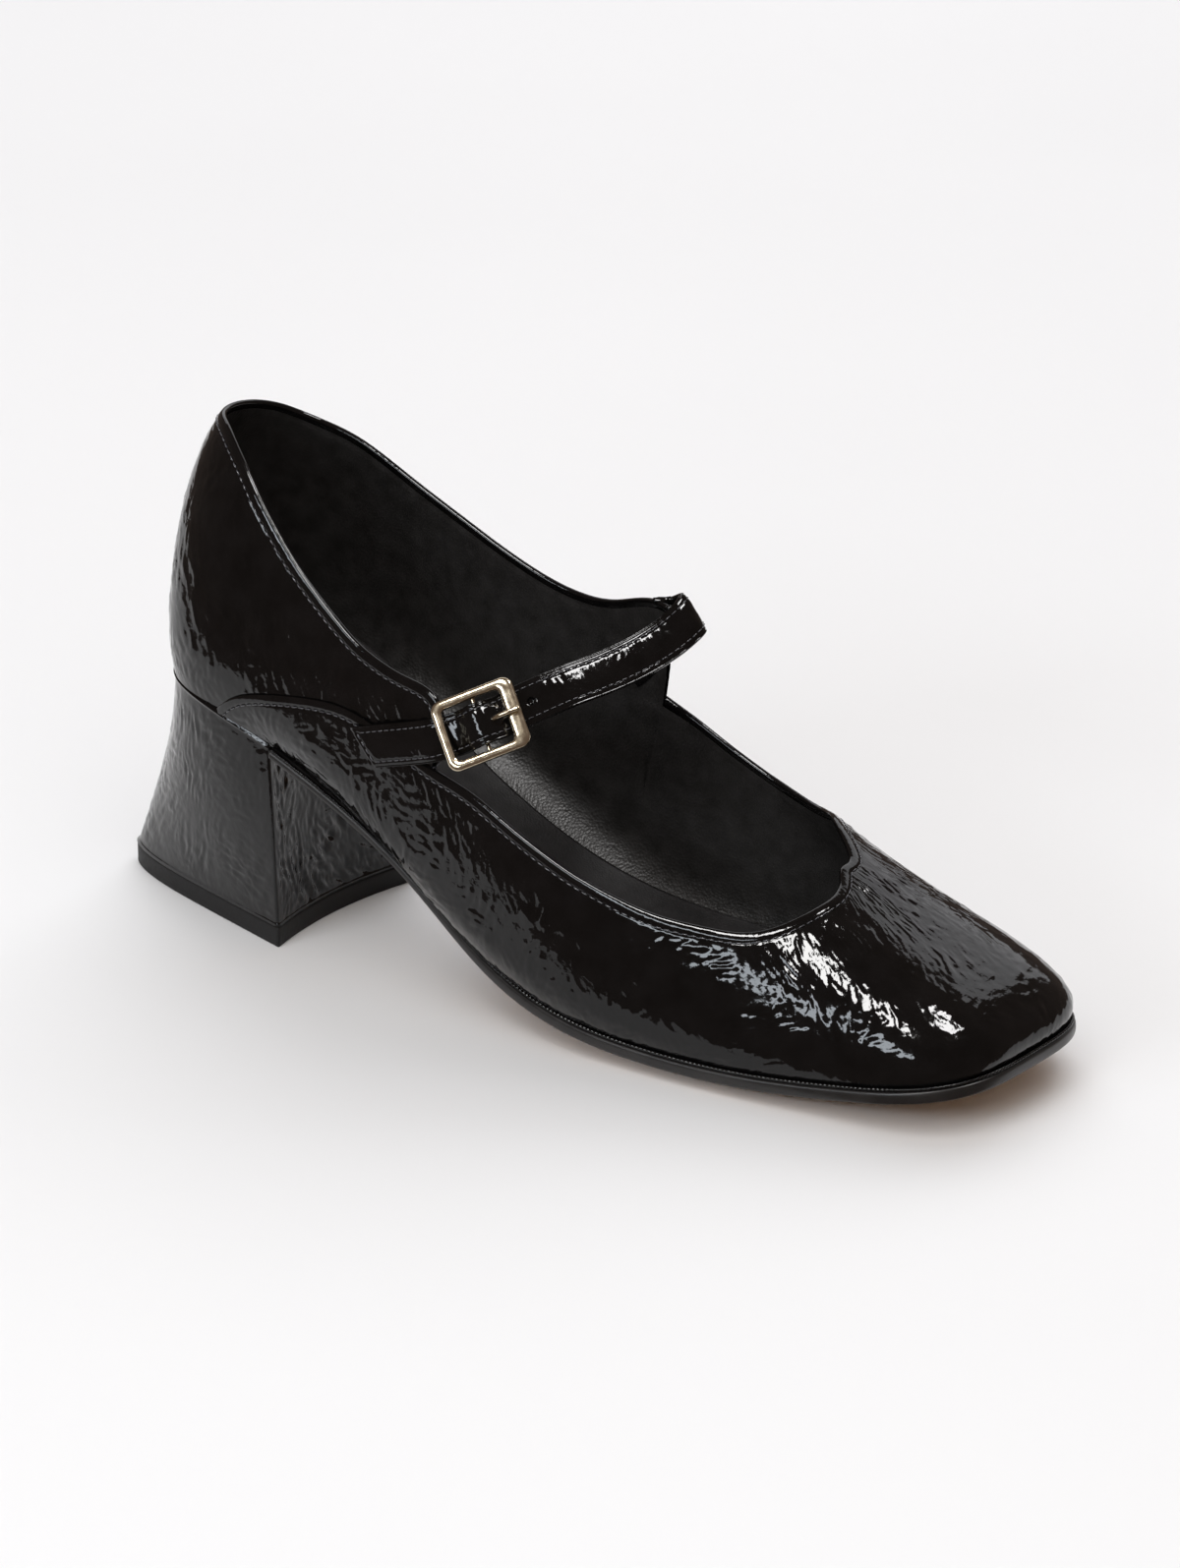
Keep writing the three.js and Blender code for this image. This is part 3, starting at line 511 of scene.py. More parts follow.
HALF_GIRTH = PLAN[-1][1][-1]  # from counter to toe round the feather line
SEAM_ROWS = {-1: OUTER_SEAM, 1: INNER_SEAM}
TOP_ROWS = {-1: OUTER_TOPLINE, 1: INNER_TOPLINE}
NOTCH = {-1: 0.381, 1: 0.453}  # foot of the throat's corner


def seam_line(side):
    feet, tops, rises = zip(*(SEAM_ROWS[side] + [r for r in TOP_ROWS[side] if r[0] == NOTCH[side]]))
    foot = np.linspace(feet[0], feet[-1], 400)
    return wall_point(gentle(feet, tops)(foot), side, gentle(feet, rises)(foot))


SEAM_LINES = {side: seam_line(side) for side in (-1, 1)}


def edge_swell(depth):
    """Height of the leather by its depth from an edge: a piped fold, then a stitched groove."""
    pipe = np.maximum(1 - ((depth - 0.9) / 1.1) ** 2, 0) * PIPE_HEIGHT
    return pipe - GROOVE_DEPTH * np.exp(-(((depth - STITCH_DEPTH) / 0.4) ** 2))


def shaped_skin(sheet, base, s, wrinkles, radius):
    """A sheet of patent with wrinkles, piped and stitched along its top edge, and rolled in."""
    edge = sheet["point"][-1]
    depth = nearest(sheet["point"], edge)
    calm = mix(0.12, 1, smooth(1.6, 5, depth)) * smooth(-1, 3, sheet["rise"])
    wrinkles = wrinkles * CRINKLE * calm
    lift = base + wrinkles + edge_swell(depth)
    points = sheet["point"] + sheet["normal"] * lift[..., None]
    top, normal = points[-1], sheet["normal"][-1]
    _, up = edge_frames(top, normal)
    up *= np.sign(np.sum(up * (points[-1] - points[-4]), -1, keepdims=True))
    rows = np.concatenate([points, rim_rows(top, normal, up, radius, 1.2)])
    low, out = points[0], sheet["normal"][0]
    down = np.array([0, 0, -1.0])
    under = rim_rows(low, out, np.broadcast_to(down, low.shape), 0.5, 0.3)
    rows = np.concatenate([under[::-1], rows])
    extra = len(rows) - len(points)
    t = np.concatenate([np.zeros_like(under[..., 0]), sheet["rise"]])
    t = np.concatenate([t, np.repeat(sheet["rise"][-1:], extra - len(under), 0)])
    uv = np.stack([np.broadcast_to(s[0], t.shape), t], -1).reshape(-1, 2)
    return rows, uv, (top, normal, up)


def quarters():
    """The two quarters with their wings, one sheet round the counter."""
    halves = []
    for side in (-1, 1):
        foot, top, rise = sheet_columns(TOP_ROWS[side], side, 0, NOTCH[side])
        order = slice(None, None, -1) if side < 0 else slice(1, None)
        halves.append((side, (foot[order], top[order], rise[order])))
    sheet = wall_sheet(halves)
    above = np.empty(sheet["at"].shape)
    for side in (-1, 1):
        mine = sheet["side"] == side
        far = nearest(sheet["point"][:, mine], SEAM_LINES[side])
        feet, tops, rises = zip(*SEAM_ROWS[side])
        seam_rise = np.interp(sheet["at"][:, mine], tops, rises)
        under = (sheet["rise"][:, mine] < seam_rise) & (sheet["at"][:, mine] > tops[0])
        above[:, mine] = np.where(under, 0, far)
    base = -OVERLAP_SINK * np.exp(-((above / 7) ** 2))
    s = sheet["at"] * HALF_GIRTH * sheet["side"]
    wrinkles = crinkle(s, sheet["rise"], 62, 11)
    rows, uv, frames = shaped_skin(sheet, base, s, wrinkles, FOLD_RADIUS)
    obj = add_mesh("quarters", rows.reshape(-1, 3), [grid_faces(*rows.shape[:2], flip=True)], uv)
    return obj, frames


def vamp():
    """The vamp from one seam round the toe to the other."""
    tables = {
        side: SEAM_ROWS[side] + [r for r in TOP_ROWS[side] if r[0] >= NOTCH[side]] for side in (-1, 1)
    }
    halves = []
    for side, (foot, top, rise) in columns_to_toe(tables).items():
        order = slice(None) if side < 0 else slice(-2, None, -1)
        halves.append((side, (foot[order], top[order], rise[order])))
    sheet = wall_sheet(halves)
    seam = np.concatenate(list(SEAM_LINES.values()))
    far = nearest(sheet["point"], seam)
    base = OVERLAP_RISE * np.exp(-((far / 9) ** 2))
    at_seam = smooth(3, 0, nearest(sheet["point"][-1], seam))
    radius = mix(FOLD_RADIUS, SEAM_RADIUS, at_seam)
    s = (1 - sheet["at"]) * HALF_GIRTH * sheet["side"]
    rise = sheet["rise"]
    at_toe = smooth(0.84, 0.96, sheet["at"]) * smooth(46, 30, rise)
    wrinkles = mix(crinkle(s, rise, 62, 31), crinkle(s, rise, 4, 37), at_toe)
    rows, uv, frames = shaped_skin(sheet, base, s, wrinkles, radius)
    obj = add_mesh("vamp", rows.reshape(-1, 3), [grid_faces(*rows.shape[:2])], uv)
    return obj, frames


LINING_DROP = 1.1  # of the lining's edge below the topline
LINING_SEAM = 0.228  # share of the way to the toe at which it has an upright seam
LINING_RIDGE = 0.25  # it stands out by this much at its seams and its edge


def lining():
    """The smooth leather inside the wall, with an upright seam on each side."""
    halves = []
    for side, columns in columns_to_toe(TOP_ROWS).items():
        last = (len(columns[0]) - 1) % 2  # so that the toe's own column is kept
        foot, top, rise = (column[last::2] for column in columns)
        order = slice(None) if side < 0 else slice(-2, 0, -1)
        halves.append((side, (foot[order], top[order], rise[order] - LINING_DROP)))
    sheet = wall_sheet(halves)
    lift = -WALL + LINING_RIDGE * smooth(2.2, 0, nearest(sheet["point"], sheet["point"][-1]))
    run = np.abs(sheet["at"] - LINING_SEAM) * PLAN[1][1][-1]
    lift = lift + LINING_RIDGE * np.exp(-((run / 0.5) ** 2))
    points = sheet["point"] + sheet["normal"] * lift[..., None]
    s = sheet["at"] * HALF_GIRTH * sheet["side"]
    uv = np.stack([s, sheet["rise"]], -1).reshape(-1, 2)
    faces = grid_faces(*points.shape[:2], closed_columns=True, flip=True)
    return add_mesh("lining", points.reshape(-1, 3), [faces], uv)


# ---------------------------------------------------------------- stitches
def stitch_row(name, line, normal, pitch=2.2, thread=0.34, share=0.74, sink=0.1):
    """Separate stitches along a line, each a short thread that dives in at both ends."""
    run = running_length(line)
    count = int(run[-1] / pitch)
    sides, stations = 6, 7
    turn = np.arange(sides) * 2 * math.pi / sides
    points, faces = [], []

    def sample(values, where):
        return np.stack([np.interp(where, run, values[:, k]) for k in range(3)], -1)

    for i in range(count):
        share_along = np.linspace(-0.5, 0.5, stations)
        where = (i + 0.5 + share_along * share) * pitch
        middle, out = sample(line, where), unit(sample(normal, where))
        along = unit(np.gradient(middle, axis=0))
        across = np.cross(along, out)
        bow = 1 - (2 * np.abs(share_along)) ** 4
        slim = 0.45 + 0.55 * np.sqrt(np.maximum(bow, 0))
        middle = middle + out * (bow * thread * 0.55 - sink)[:, None]
        ring = middle[:, None] + (thread / 2) * slim[:, None, None] * (
            np.cos(turn)[None, :, None] * across[:, None] + np.sin(turn)[None, :, None] * out[:, None]
        )
        start = len(points) * (sides * stations + 2)
        points.append(np.concatenate([ring.reshape(-1, 3), middle[:1], middle[-1:]]))
        faces.append(grid_faces(stations, sides, closed_columns=True) + start)
    ends = []
    for i in range(count):
        start = i * (sides * stations + 2)
        ends.append(fan_faces(np.arange(sides) + start, start + sides * stations, flip=True))
        last = start + sides * (stations - 1)
        ends.append(fan_faces(np.arange(sides) + last, start + sides * stations + 1))
    return add_mesh(name, np.concatenate(points), [np.concatenate(faces), np.concatenate(ends)])


def stitched_line(frames):
    """The line of the stitches beside an edge, and the way its surface looks."""
    line, normal, up = frames
    inner = line - up * STITCH_DEPTH
    clear = nearest(inner, line) > STITCH_DEPTH * STITCH_CLEAR
    return inner[clear] - normal[clear] * STITCH_SUNK, normal[clear]

# ---------------------------------------------------------------- sole and insole
SOLE_THICK, SOLE_MARGIN, SOLE_BACK = 3, 1.2, 43.9
SOLE_CROWN = 4  # the sole is thicker by this much in the middle of the forefoot
CROWN_BACK, CROWN_FRONT = (95, 150), (240, 200)  # it grows and fades between these
HEEL_HOLLOW = 3.2  # depth of the heel's hollow breast
PULL_SHARE = 0.09  # the outsole's hollow back edge fades over this share of its length
SOLE_FRONT = 0.996  # share of the way to the toe's middle at which the outsole ends
EDGE_INSET, EDGE_BULGE = 0.5, 0.35  # the sole's edge is rounded out from a line inside it
EDGE_LEVELS, EDGE_POWER = 9, 0.45
WAIST = (118, 80)  # the sole grows slimmer between these
WAIST_THICK, WAIST_SLIM = 2, 0.02  # its thickness there, and how much narrower it is
STATIONS = 260  # from the back of a plate to its front
INSOLE_THICK, INSOLE_AIR = 2.6, 0.4
INSOLE_TURN_UP = 1.6  # the insole's rim climbs the wall
INSOLE_ENDS = (0.006, 0.994)  # shares of the way from counter to toe


def feather_point(at, side, margin):
    point = side_point(at, side, 0 * at)
    ahead = side_point(np.minimum(at + 0.004, 1), side, 0 * at)
    behind = side_point(np.maximum(at - 0.004, 0), side, 0 * at)
    run = unit((ahead - behind)[..., :2])
    x = point[..., 0] - side * margin * run[..., 1]
    y = point[..., 1] + side * margin * run[..., 0]
    return np.stack([x, y], -1)


def share_at(x):
    """Share of the way to the toe at which the feather line passes x."""
    low, high = 0, 0.5
    for _ in range(30):
        middle = (low + high) / 2
        passed = feather_point(np.array(middle), -1, 0)[0] < x
        low, high = (middle, high) if passed else (low, middle)
    return (low + high) / 2


def plate_grid(first, last, margin, stations, places, hollow_pull):
    """Points across the plan, rows from back to front, and how far across each one is."""
    turn = np.linspace(0, math.pi, stations)
    share = (1 - np.cos(turn)) / 2
    at = mix(first, last, share)
    outer, inner = feather_point(at, -1, margin), feather_point(at, 1, margin)
    across = np.linspace(-1, 1, places)
    grid = mix(outer[:, None], inner[:, None], (across[None, :, None] + 1) / 2)
    pull = np.maximum(1 - share / PULL_SHARE, 0) * hollow_pull
    grid[..., 0] -= pull[:, None] * (1 - across**2)
    return grid, across


def plate_faces(grid, top, bottom):
    """Upper and lower points of a plate, the faces over both, and the loop round its edge."""
    rows, places = top.shape
    upper, lower = (np.concatenate([grid, z[..., None]], -1).reshape(-1, 3) for z in (top, bottom))
    index = np.arange(rows * places).reshape(rows, places)
    loop = np.concatenate([index[:, 0], index[-1, 1:], index[-2::-1, -1], index[0, -2:0:-1]])
    faces = [grid_faces(rows, places), grid_faces(rows, places, flip=True) + len(upper)]
    return upper, lower, faces, loop


def outsole():
    """Thin outsole with a rounded edge; its middle underside rests on the floor."""
    first, last = share_at(SOLE_BACK), SOLE_FRONT
    grid, across = plate_grid(first, last, SOLE_MARGIN - EDGE_INSET, STATIONS, 61, HEEL_HOLLOW)
    top = section["feather"](grid[..., 0]) - GAP
    waist = smooth(*WAIST, grid[..., 0])
    grid[..., 1] *= 1 - WAIST_SLIM * waist
    crown = SOLE_CROWN * smooth(*CROWN_BACK, grid[..., 0]) * smooth(*CROWN_FRONT, grid[..., 0])
    crown *= 1 - across**2
    bottom = np.maximum(top - mix(SOLE_THICK, WAIST_THICK, waist) - crown, 0)
    upper, lower, faces, loop = plate_faces(grid, top, bottom)
    rim = upper[loop]
    ahead = unit((np.roll(rim, -1, 0) - np.roll(rim, 1, 0))[:, :2])
    out = np.stack([ahead[:, 1], -ahead[:, 0], 0 * ahead[:, 0]], -1)
    out *= np.sign(np.sum(out[STATIONS // 2] * (0, -1, 0))) or 1
    points = [upper, lower]
    for turn in np.linspace(0, math.pi, EDGE_LEVELS + 2)[1:-1]:
        proud = (EDGE_INSET + EDGE_BULGE) * math.sin(turn) ** EDGE_POWER
        points.append(mix(rim, lower[loop], (1 - math.cos(turn)) / 2) + out * proud)
    count = len(loop)
    start = len(upper) * 2
    here, ahead = np.arange(count), np.roll(np.arange(count), -1)
    low_loop, last = loop + len(upper), start + (EDGE_LEVELS - 1) * count
    faces += [
        grid_faces(EDGE_LEVELS, count, closed_columns=True) + start,
        np.stack([loop, loop[ahead], start + ahead, start + here], 1),
        np.stack([last + here, last + ahead, low_loop[ahead], low_loop], 1),
    ]
    return turn_outwards(add_mesh("outsole_leather", np.concatenate(points), faces))


def insole():
    """Insole board with its leather sock: dished, and turned up a little at the wall."""
    grid, across = plate_grid(*INSOLE_ENDS, -WALL - INSOLE_AIR, STATIONS, 81, 0)
    low = section["feather"](grid[..., 0])
    rise = INSOLE_TURN_UP * np.abs(across) ** 5
    upper, lower, faces, loop = plate_faces(grid, low + INSOLE_THICK + rise[None, :], low)
    ahead, under = np.roll(loop, -1), len(upper)
    faces.append(np.stack([loop, ahead, ahead + under, loop + under], 1))
    return turn_outwards(add_mesh("insole_sock", np.concatenate([upper, lower]), faces))


BEAD_RADIUS, BEAD_PITCH, BEAD_SWELL = 0.42, 1.15, 0.16
BEAD_OUT, BEAD_UP = 0.75, 0.05  # of the bead's middle from the feather line
BEAD_SIDES = 10


def rand_bead():
    """The beaded line between upper and sole, from one side of the heel to the other."""
    back = share_at(SOLE_BACK)
    at = np.linspace(back, 1, 900)
    line = []
    for side, order in ((-1, slice(None)), (1, slice(-2, None, -1))):
        plan = feather_point(at, side, BEAD_OUT)[order]
        height = section["feather"](plan[:, 0]) + BEAD_UP
        line.append(np.concatenate([plan, height[:, None]], 1))
    line = resample(np.concatenate(line), 2600)
    along = unit(np.gradient(line, axis=0))
    out = unit(np.cross(along, (0, 0, 1.0)))
    up = np.cross(out, along)
    beat = 1 + BEAD_SWELL * np.cos(2 * math.pi * running_length(line) / BEAD_PITCH)
    turn = np.arange(BEAD_SIDES) * 2 * math.pi / BEAD_SIDES
    ring = np.cos(turn)[None, :, None] * out[:, None] + np.sin(turn)[None, :, None] * up[:, None]
    points = line[:, None] + ring * (BEAD_RADIUS * beat)[:, None, None]
    faces = [grid_faces(len(line), BEAD_SIDES, closed_columns=True)]
    return turn_outwards(add_mesh("rand_bead", points.reshape(-1, 3), faces))


# ---------------------------------------------------------------- the heel
HEEL_TOP_FRONT, HEEL_FRONT, HEEL_BACK, HEEL_HALF = 43, 45, -19.5, 26
HEEL_INSET, HEEL_CURVE = 0.4, 1.04
HEEL_NARROW, HEEL_BACK_POWER = 0.72, 8  # the floor outline narrows and rounds off behind
LIFT_THICK, LIFT_PROUD = 5.2, 0.5
HEEL_AROUND, HEEL_BREAST, HEEL_LEVELS = 330, 120, 96
HEEL_CALM = 9  # columns from a front corner over which the wrinkles grow
HEEL_CRINKLE, BREAST_CRINKLE = 0.8, 2.2  # heights of the wrinkles round the heel and in its breast
HEEL_FOLD = 0.55  # the cover is drawn in by this much at its upper and lower edge


def heel_floor(share, proud):
    back = 1 - share * share
    length = HEEL_FRONT - HEEL_BACK + 2 * proud
    half = (HEEL_HALF + proud) * (1 - HEEL_NARROW * back) * np.sqrt(1 - back**HEEL_BACK_POWER)
    return np.stack([HEEL_FRONT + proud - length * back, half * np.sign(share)], -1)


def heel_seat(share):
    at = share_at(HEEL_TOP_FRONT) * np.abs(share)
    outer = feather_point(at, -1, -HEEL_INSET)
    inner = feather_point(at, 1, -HEEL_INSET)
    return np.where((share < 0)[:, None], outer, inner)


def heel_outline(edge):
    """A closed outline, round the back and across the hollow breast, with eased corners."""
    back = resample(edge(np.linspace(-1, 1, 600)), HEEL_AROUND)
    t = np.linspace(0, 1, HEEL_BREAST)
    breast = mix(back[-1], back[0], t[:, None])
    breast[:, 0] -= HEEL_HOLLOW * (1 - (2 * t - 1) ** 2)
    outline = np.concatenate([back, breast[1:-1]])
    for _ in range(3):
        outline = (np.roll(outline, 1, 0) + 2 * outline + np.roll(outline, -1, 0)) / 4
    return outline


def heel_block():
    """The covered heel: wrinkled patent wrapped round a flared block."""
    floor = heel_outline(lambda share: heel_floor(share, 0))
    seat = heel_outline(heel_seat)
    base = LIFT_THICK + GAP * 0.5
    climb = np.linspace(0, 1, HEEL_LEVELS)[:, None]
    blend = 1 - (1 - climb) ** HEEL_CURVE
    plan = mix(floor[None], seat[None], blend[..., None])
    roof = section["feather"](seat[:, 0]) - GAP
    height = mix(base, roof[None], climb)
    points = np.concatenate([plan, height[..., None]], -1)
    along = unit(np.roll(points, -1, 1) - np.roll(points, 1, 1))
    upward = unit(np.gradient(points, axis=0))
    out = unit(np.cross(along, upward))
    run = running_length(np.concatenate([floor, floor[:1]]))[:-1]
    around = np.broadcast_to(run[None], height.shape)
    wide = crinkle(around, height, -38, 71) * HEEL_CRINKLE
    strong = crinkle(around * 0.9, height * 0.9, 75, 91) * BREAST_CRINKLE
    column = np.arange(len(floor))
    on_breast = (column >= HEEL_AROUND)[None, :]
    corner = np.minimum(np.abs(column - HEEL_AROUND), np.minimum(column, len(floor) - column))
    calm = smooth(0, HEEL_CALM, corner.astype(float))[None, :]
    lift = np.where(on_breast, strong, wide) * calm
    ends = np.minimum(height - base, roof[None] - height)
    lift = lift * smooth(0, 2.5, ends) - HEEL_FOLD * (1 - smooth(0, 0.9, ends)) ** 2
    return tube("heel_cover", points + out * lift[..., None], (around, height))


# Heights on the top lift's side and how far its edge is eased in there.
LIFT_LEVELS = [
    (0, 0.45), (0.12, 0.15), (0.4, 0), (1.6, 0), (2.8, 0), (4.2, 0),
    (4.85, 0), (5.1, 0.12), (LIFT_THICK, 0.4),
]


def top_lift():
    """Rubber top lift with eased edges."""
    rings = []
    for height, ease in LIFT_LEVELS:
        plan = heel_outline(lambda share, e=ease: heel_floor(share, LIFT_PROUD - e))
        rings.append(np.concatenate([plan, np.full((len(plan), 1), height)], 1))
    return tube("rubber_lift", np.array(rings))

# ---------------------------------------------------------------- strap and buckle
STRAP_WIDTH, STRAP_THICK, STRAP_AIR = 10.4, 1.6, 0.8
TAIL_SLANT, END_SLANT, SLANT_FADE = 0.55, -0.4, 14  # the strap's ends are cut on the slant
HUMP_HEIGHT, HUMP_REACH = 2.6, 6.2  # the strap rises over the buckle's centre bar
BUCKLE_PLACE, BUCKLE_RISE = 0.335, 1.7  # share of the strap's length, height above it
BUCKLE_LENGTH, BUCKLE_WIDTH, BUCKLE_THICK = 20.5, 17.6, 1.6
BUCKLE_BAR, BUCKLE_FRONT_BAR, BUCKLE_CORNER = 2.3, 3.6, 2.6
CENTRE_BAR_RADIUS, CENTRE_BAR_DROP = 0.5, 0.8

STRAP_TAIL = [(0.333, 31.1), (0.36, 38.1), (0.388, 45.1), (0.416, 52)]  # place and rise
STRAP_OVER = [  # over the instep: where the strap's middle is, and the way it faces
    ((111.2, -29.4, 74.2), (0.3, -0.82, 0.49)), ((117.3, -21.5, 78.2), (0.42, -0.74, 0.52)),
    ((122.2, -12, 80.8), (0.58, -0.45, 0.68)), ((126, -2, 82.3), (0.66, -0.3, 0.69)),
    ((129, 8, 84.2), (0.68, -0.2, 0.7)), ((131.6, 17, 87.2), (0.66, -0.1, 0.75)),
    ((132.6, 22.6, 89.9), (0.58, 0.35, 0.74)), ((131.2, 25.4, 90.4), (0.3, 0.85, 0.43)),
    ((128, 25.4, 89), (0.15, 0.93, 0.34)),
]
STRAP_END = [(0.517, 82.4)]
PRONG_RADIUS, PRONG_BROAD, PRONG_POINT = 0.55, 1.15, 0.9  # it is broader than thick
ROD_SIDES = 16  # of the prong and the centre bar
PRONG_LINE = [(1.1, -0.75), (2.2, -0.25), (3.6, 0.65), (5.2, 1.5), (7, 1.8), (10.4, 1.75)]


def knotted(points, t):
    """A centripetal Catmull-Rom curve through the points, at shares t of its knots."""
    points = np.asarray(points, float)
    padded = np.concatenate([[2 * points[0] - points[1]], points, [2 * points[-1] - points[-2]]])
    place = np.clip(np.asarray(t, float), 0, 1) * (len(points) - 1)
    i = np.minimum(place.astype(int), len(points) - 2)
    w = (place - i)[:, None]
    p0, p1, p2, p3 = (padded[i + k] for k in range(4))
    gaps = np.linalg.norm(np.diff(padded, axis=0), axis=1) ** 0.5
    d0, d1, d2 = (np.maximum(gaps[i + k], 1e-4)[:, None] for k in range(3))
    start = ((p1 - p0) / d0 - (p2 - p0) / (d0 + d1) + (p2 - p1) / d1) * d1
    end = ((p2 - p1) / d1 - (p3 - p1) / (d1 + d2) + (p3 - p2) / d2) * d1
    return (
        p1
        + start * w
        + (3 * (p2 - p1) - 2 * start - end) * w**2
        + (2 * (p1 - p2) + start + end) * w**3
    )


def strap_knots():
    middles, looks = [], []

    def on_wall(place, rise, side):
        spot = np.array([place]), side, np.array([rise])
        normal = wall_normal(*spot)[0]
        middles.append(wall_point(*spot)[0] + normal * (STRAP_AIR + STRAP_THICK / 2))
        looks.append(normal)

    for place, rise in STRAP_TAIL:
        on_wall(place, rise, -1)
    for middle, look in STRAP_OVER:
        middles.append(np.array(middle, float))
        looks.append(unit(np.array(look, float)))
    for place, rise in STRAP_END:
        on_wall(place, rise, 1)
    return np.array(middles), np.array(looks)


STRAP_MIDDLES, STRAP_LOOKS = strap_knots()
STRAP_KNOT_SHARES = np.linspace(0, 1, 4000)
STRAP_RUN = running_length(knotted(STRAP_MIDDLES, STRAP_KNOT_SHARES))
STRAP_LENGTH = STRAP_RUN[-1]


def strap_frame(run):
    """Middle of the strap, and the ways along, out of and across it."""
    t = np.interp(run, STRAP_RUN, STRAP_KNOT_SHARES)
    middle = knotted(STRAP_MIDDLES, t)
    along = unit(knotted(STRAP_MIDDLES, t + 1e-4) - knotted(STRAP_MIDDLES, t - 1e-4))
    look = knotted(STRAP_LOOKS, t)
    out = unit(look - along * np.sum(look * along, -1, keepdims=True))
    return middle, along, out, np.cross(along, out)


BUCKLE_RUN = BUCKLE_PLACE * STRAP_LENGTH
HOLE_RUN = BUCKLE_RUN + BUCKLE_LENGTH / 2 + 2.6  # a spare hole shows beside the buckle
HOLE_RADIUS, HOLE_DEPTH = 0.85, 0.95
STRAP_GRAIN = 0.35  # height of the strap's wrinkles
STRAP_SIDE_CURVE = 0.3  # the strap's face is crowned by this much
STRAP_CELL = 0.35
STRAP_STITCH, STRAP_END_STITCH = 1.55, 1.7  # from the strap's edges and ends to its stitches
GROOVE_HALF = 0.38  # half width of the strap's grooves
STRAP_EDGE = 0.93  # share of the half width at which the strap's edge starts to round over
STRAP_FACE, STRAP_ROUND = 41, 9  # points across each face and round each edge


def strap_hump(run):
    reach = np.minimum(np.abs(run - BUCKLE_RUN) / HUMP_REACH, 1)
    return HUMP_HEIGHT * (1 + np.cos(math.pi * reach)) / 2


def strap_points(run, across_share, height):
    """Points of the strap by run, share of the half width and height over its middle."""
    middle, along, out, across = strap_frame(run)
    a = across_share * STRAP_WIDTH / 2
    tail = TAIL_SLANT * np.maximum(1 - run / SLANT_FADE, 0)
    end = END_SLANT * np.maximum(1 - (STRAP_LENGTH - run) / SLANT_FADE, 0)
    lift = height + strap_hump(run)
    return middle + across * a[:, None] + out * lift[:, None] + along * (a * (tail + end))[:, None]


def strap_band():
    """The strap: a crowned, stitched band with folded edges."""
    run = np.linspace(0, STRAP_LENGTH, int(STRAP_LENGTH / STRAP_CELL))
    half = STRAP_WIDTH / 2
    face = np.linspace(-1, 1, STRAP_FACE) * STRAP_EDGE
    flat = np.ones(STRAP_FACE)
    turn = np.linspace(0, math.pi, STRAP_ROUND)[1:-1]
    bend = STRAP_EDGE + (1 - STRAP_EDGE) * np.sin(turn)
    share = np.concatenate([face, bend, face[::-1], -bend])
    level = np.concatenate([flat, np.cos(turn), -flat, -np.cos(turn)])
    depth = half * (1 - np.abs(share))
    top = level > 0.99
    ends = np.minimum(run, STRAP_LENGTH - run)
    rows = []
    grain = crinkle(run[:, None], (share * half)[None, :], 70, 131) * STRAP_GRAIN
    for k in range(len(share)):
        height = level[k] * STRAP_THICK / 2 * (1 - 0.35 * (1 - smooth(0, 1.3, depth[k])) * top[k])
        height = height + 0 * run
        if top[k]:
            height += STRAP_SIDE_CURVE * (1 - share[k] ** 2) + grain[:, k] * smooth(1, 2.2, depth[k])
            height -= GROOVE_DEPTH * math.exp(-(((depth[k] - STRAP_STITCH) / GROOVE_HALF) ** 2))
            across_end = np.exp(-(((ends - STRAP_END_STITCH) / GROOVE_HALF) ** 2))
            height -= GROOVE_DEPTH * across_end * (depth[k] > 1.3)
            hole = np.hypot(run - HOLE_RUN, share[k] * half)
            height -= HOLE_DEPTH * smooth(HOLE_RADIUS + 0.3, HOLE_RADIUS - 0.25, hole)
        height *= mix(0.4, 1, smooth(0, 0.8, ends) if level[k] > 0 else 1)
        rows.append(strap_points(run, np.full_like(run, share[k]), height))
    return tube("strap_band", np.stack(rows, 1), (run[:, None], (share * half)[None, :]))


def strap_stitches():
    """Stitches along both edges of the strap and across both slanted ends."""
    rows = []
    face = STRAP_THICK / 2 + 0.16
    edge = 1 - STRAP_STITCH / (STRAP_WIDTH / 2)
    run = np.linspace(2.2, STRAP_LENGTH - 2.2, 400)
    for side in (-1, 1):
        line = strap_points(run, np.full_like(run, side * edge), 0 * run + face)
        rows.append((line, strap_frame(run)[2]))
    cross = np.linspace(-edge, edge, 30)
    for place in (STRAP_END_STITCH, STRAP_LENGTH - STRAP_END_STITCH):
        spot = np.full_like(cross, place)
        rows.append((strap_points(spot, cross, 0 * spot + face), strap_frame(spot)[2]))
    return rows


def buckle_point(run, side, out):
    """Points of the buckle's own frame: along the strap, across it, away from the shoe."""
    middle, along, outward, across = (v[0] for v in strap_frame(np.array([BUCKLE_RUN])))
    origin = middle + outward * BUCKLE_RISE
    run, side, out = (np.asarray(v, float)[..., None] for v in (run, side, out))
    return origin + along * run - across * side + outward * out


def rounded_rectangle(left, right, half, radius, count=12):
    """Outline of a rectangle with round corners."""
    points = []
    corners = ((right, -half, -90), (right, half, 0), (left, half, 90), (left, -half, 180))
    for x, y, start in corners:
        cx, cy = x - math.copysign(radius, x - (left + right) / 2), y - math.copysign(radius, y)
        for turn in np.radians(np.linspace(start, start + 90, count)):
            points.append((cx + radius * math.cos(turn), cy + radius * math.sin(turn)))
    return np.array(points)


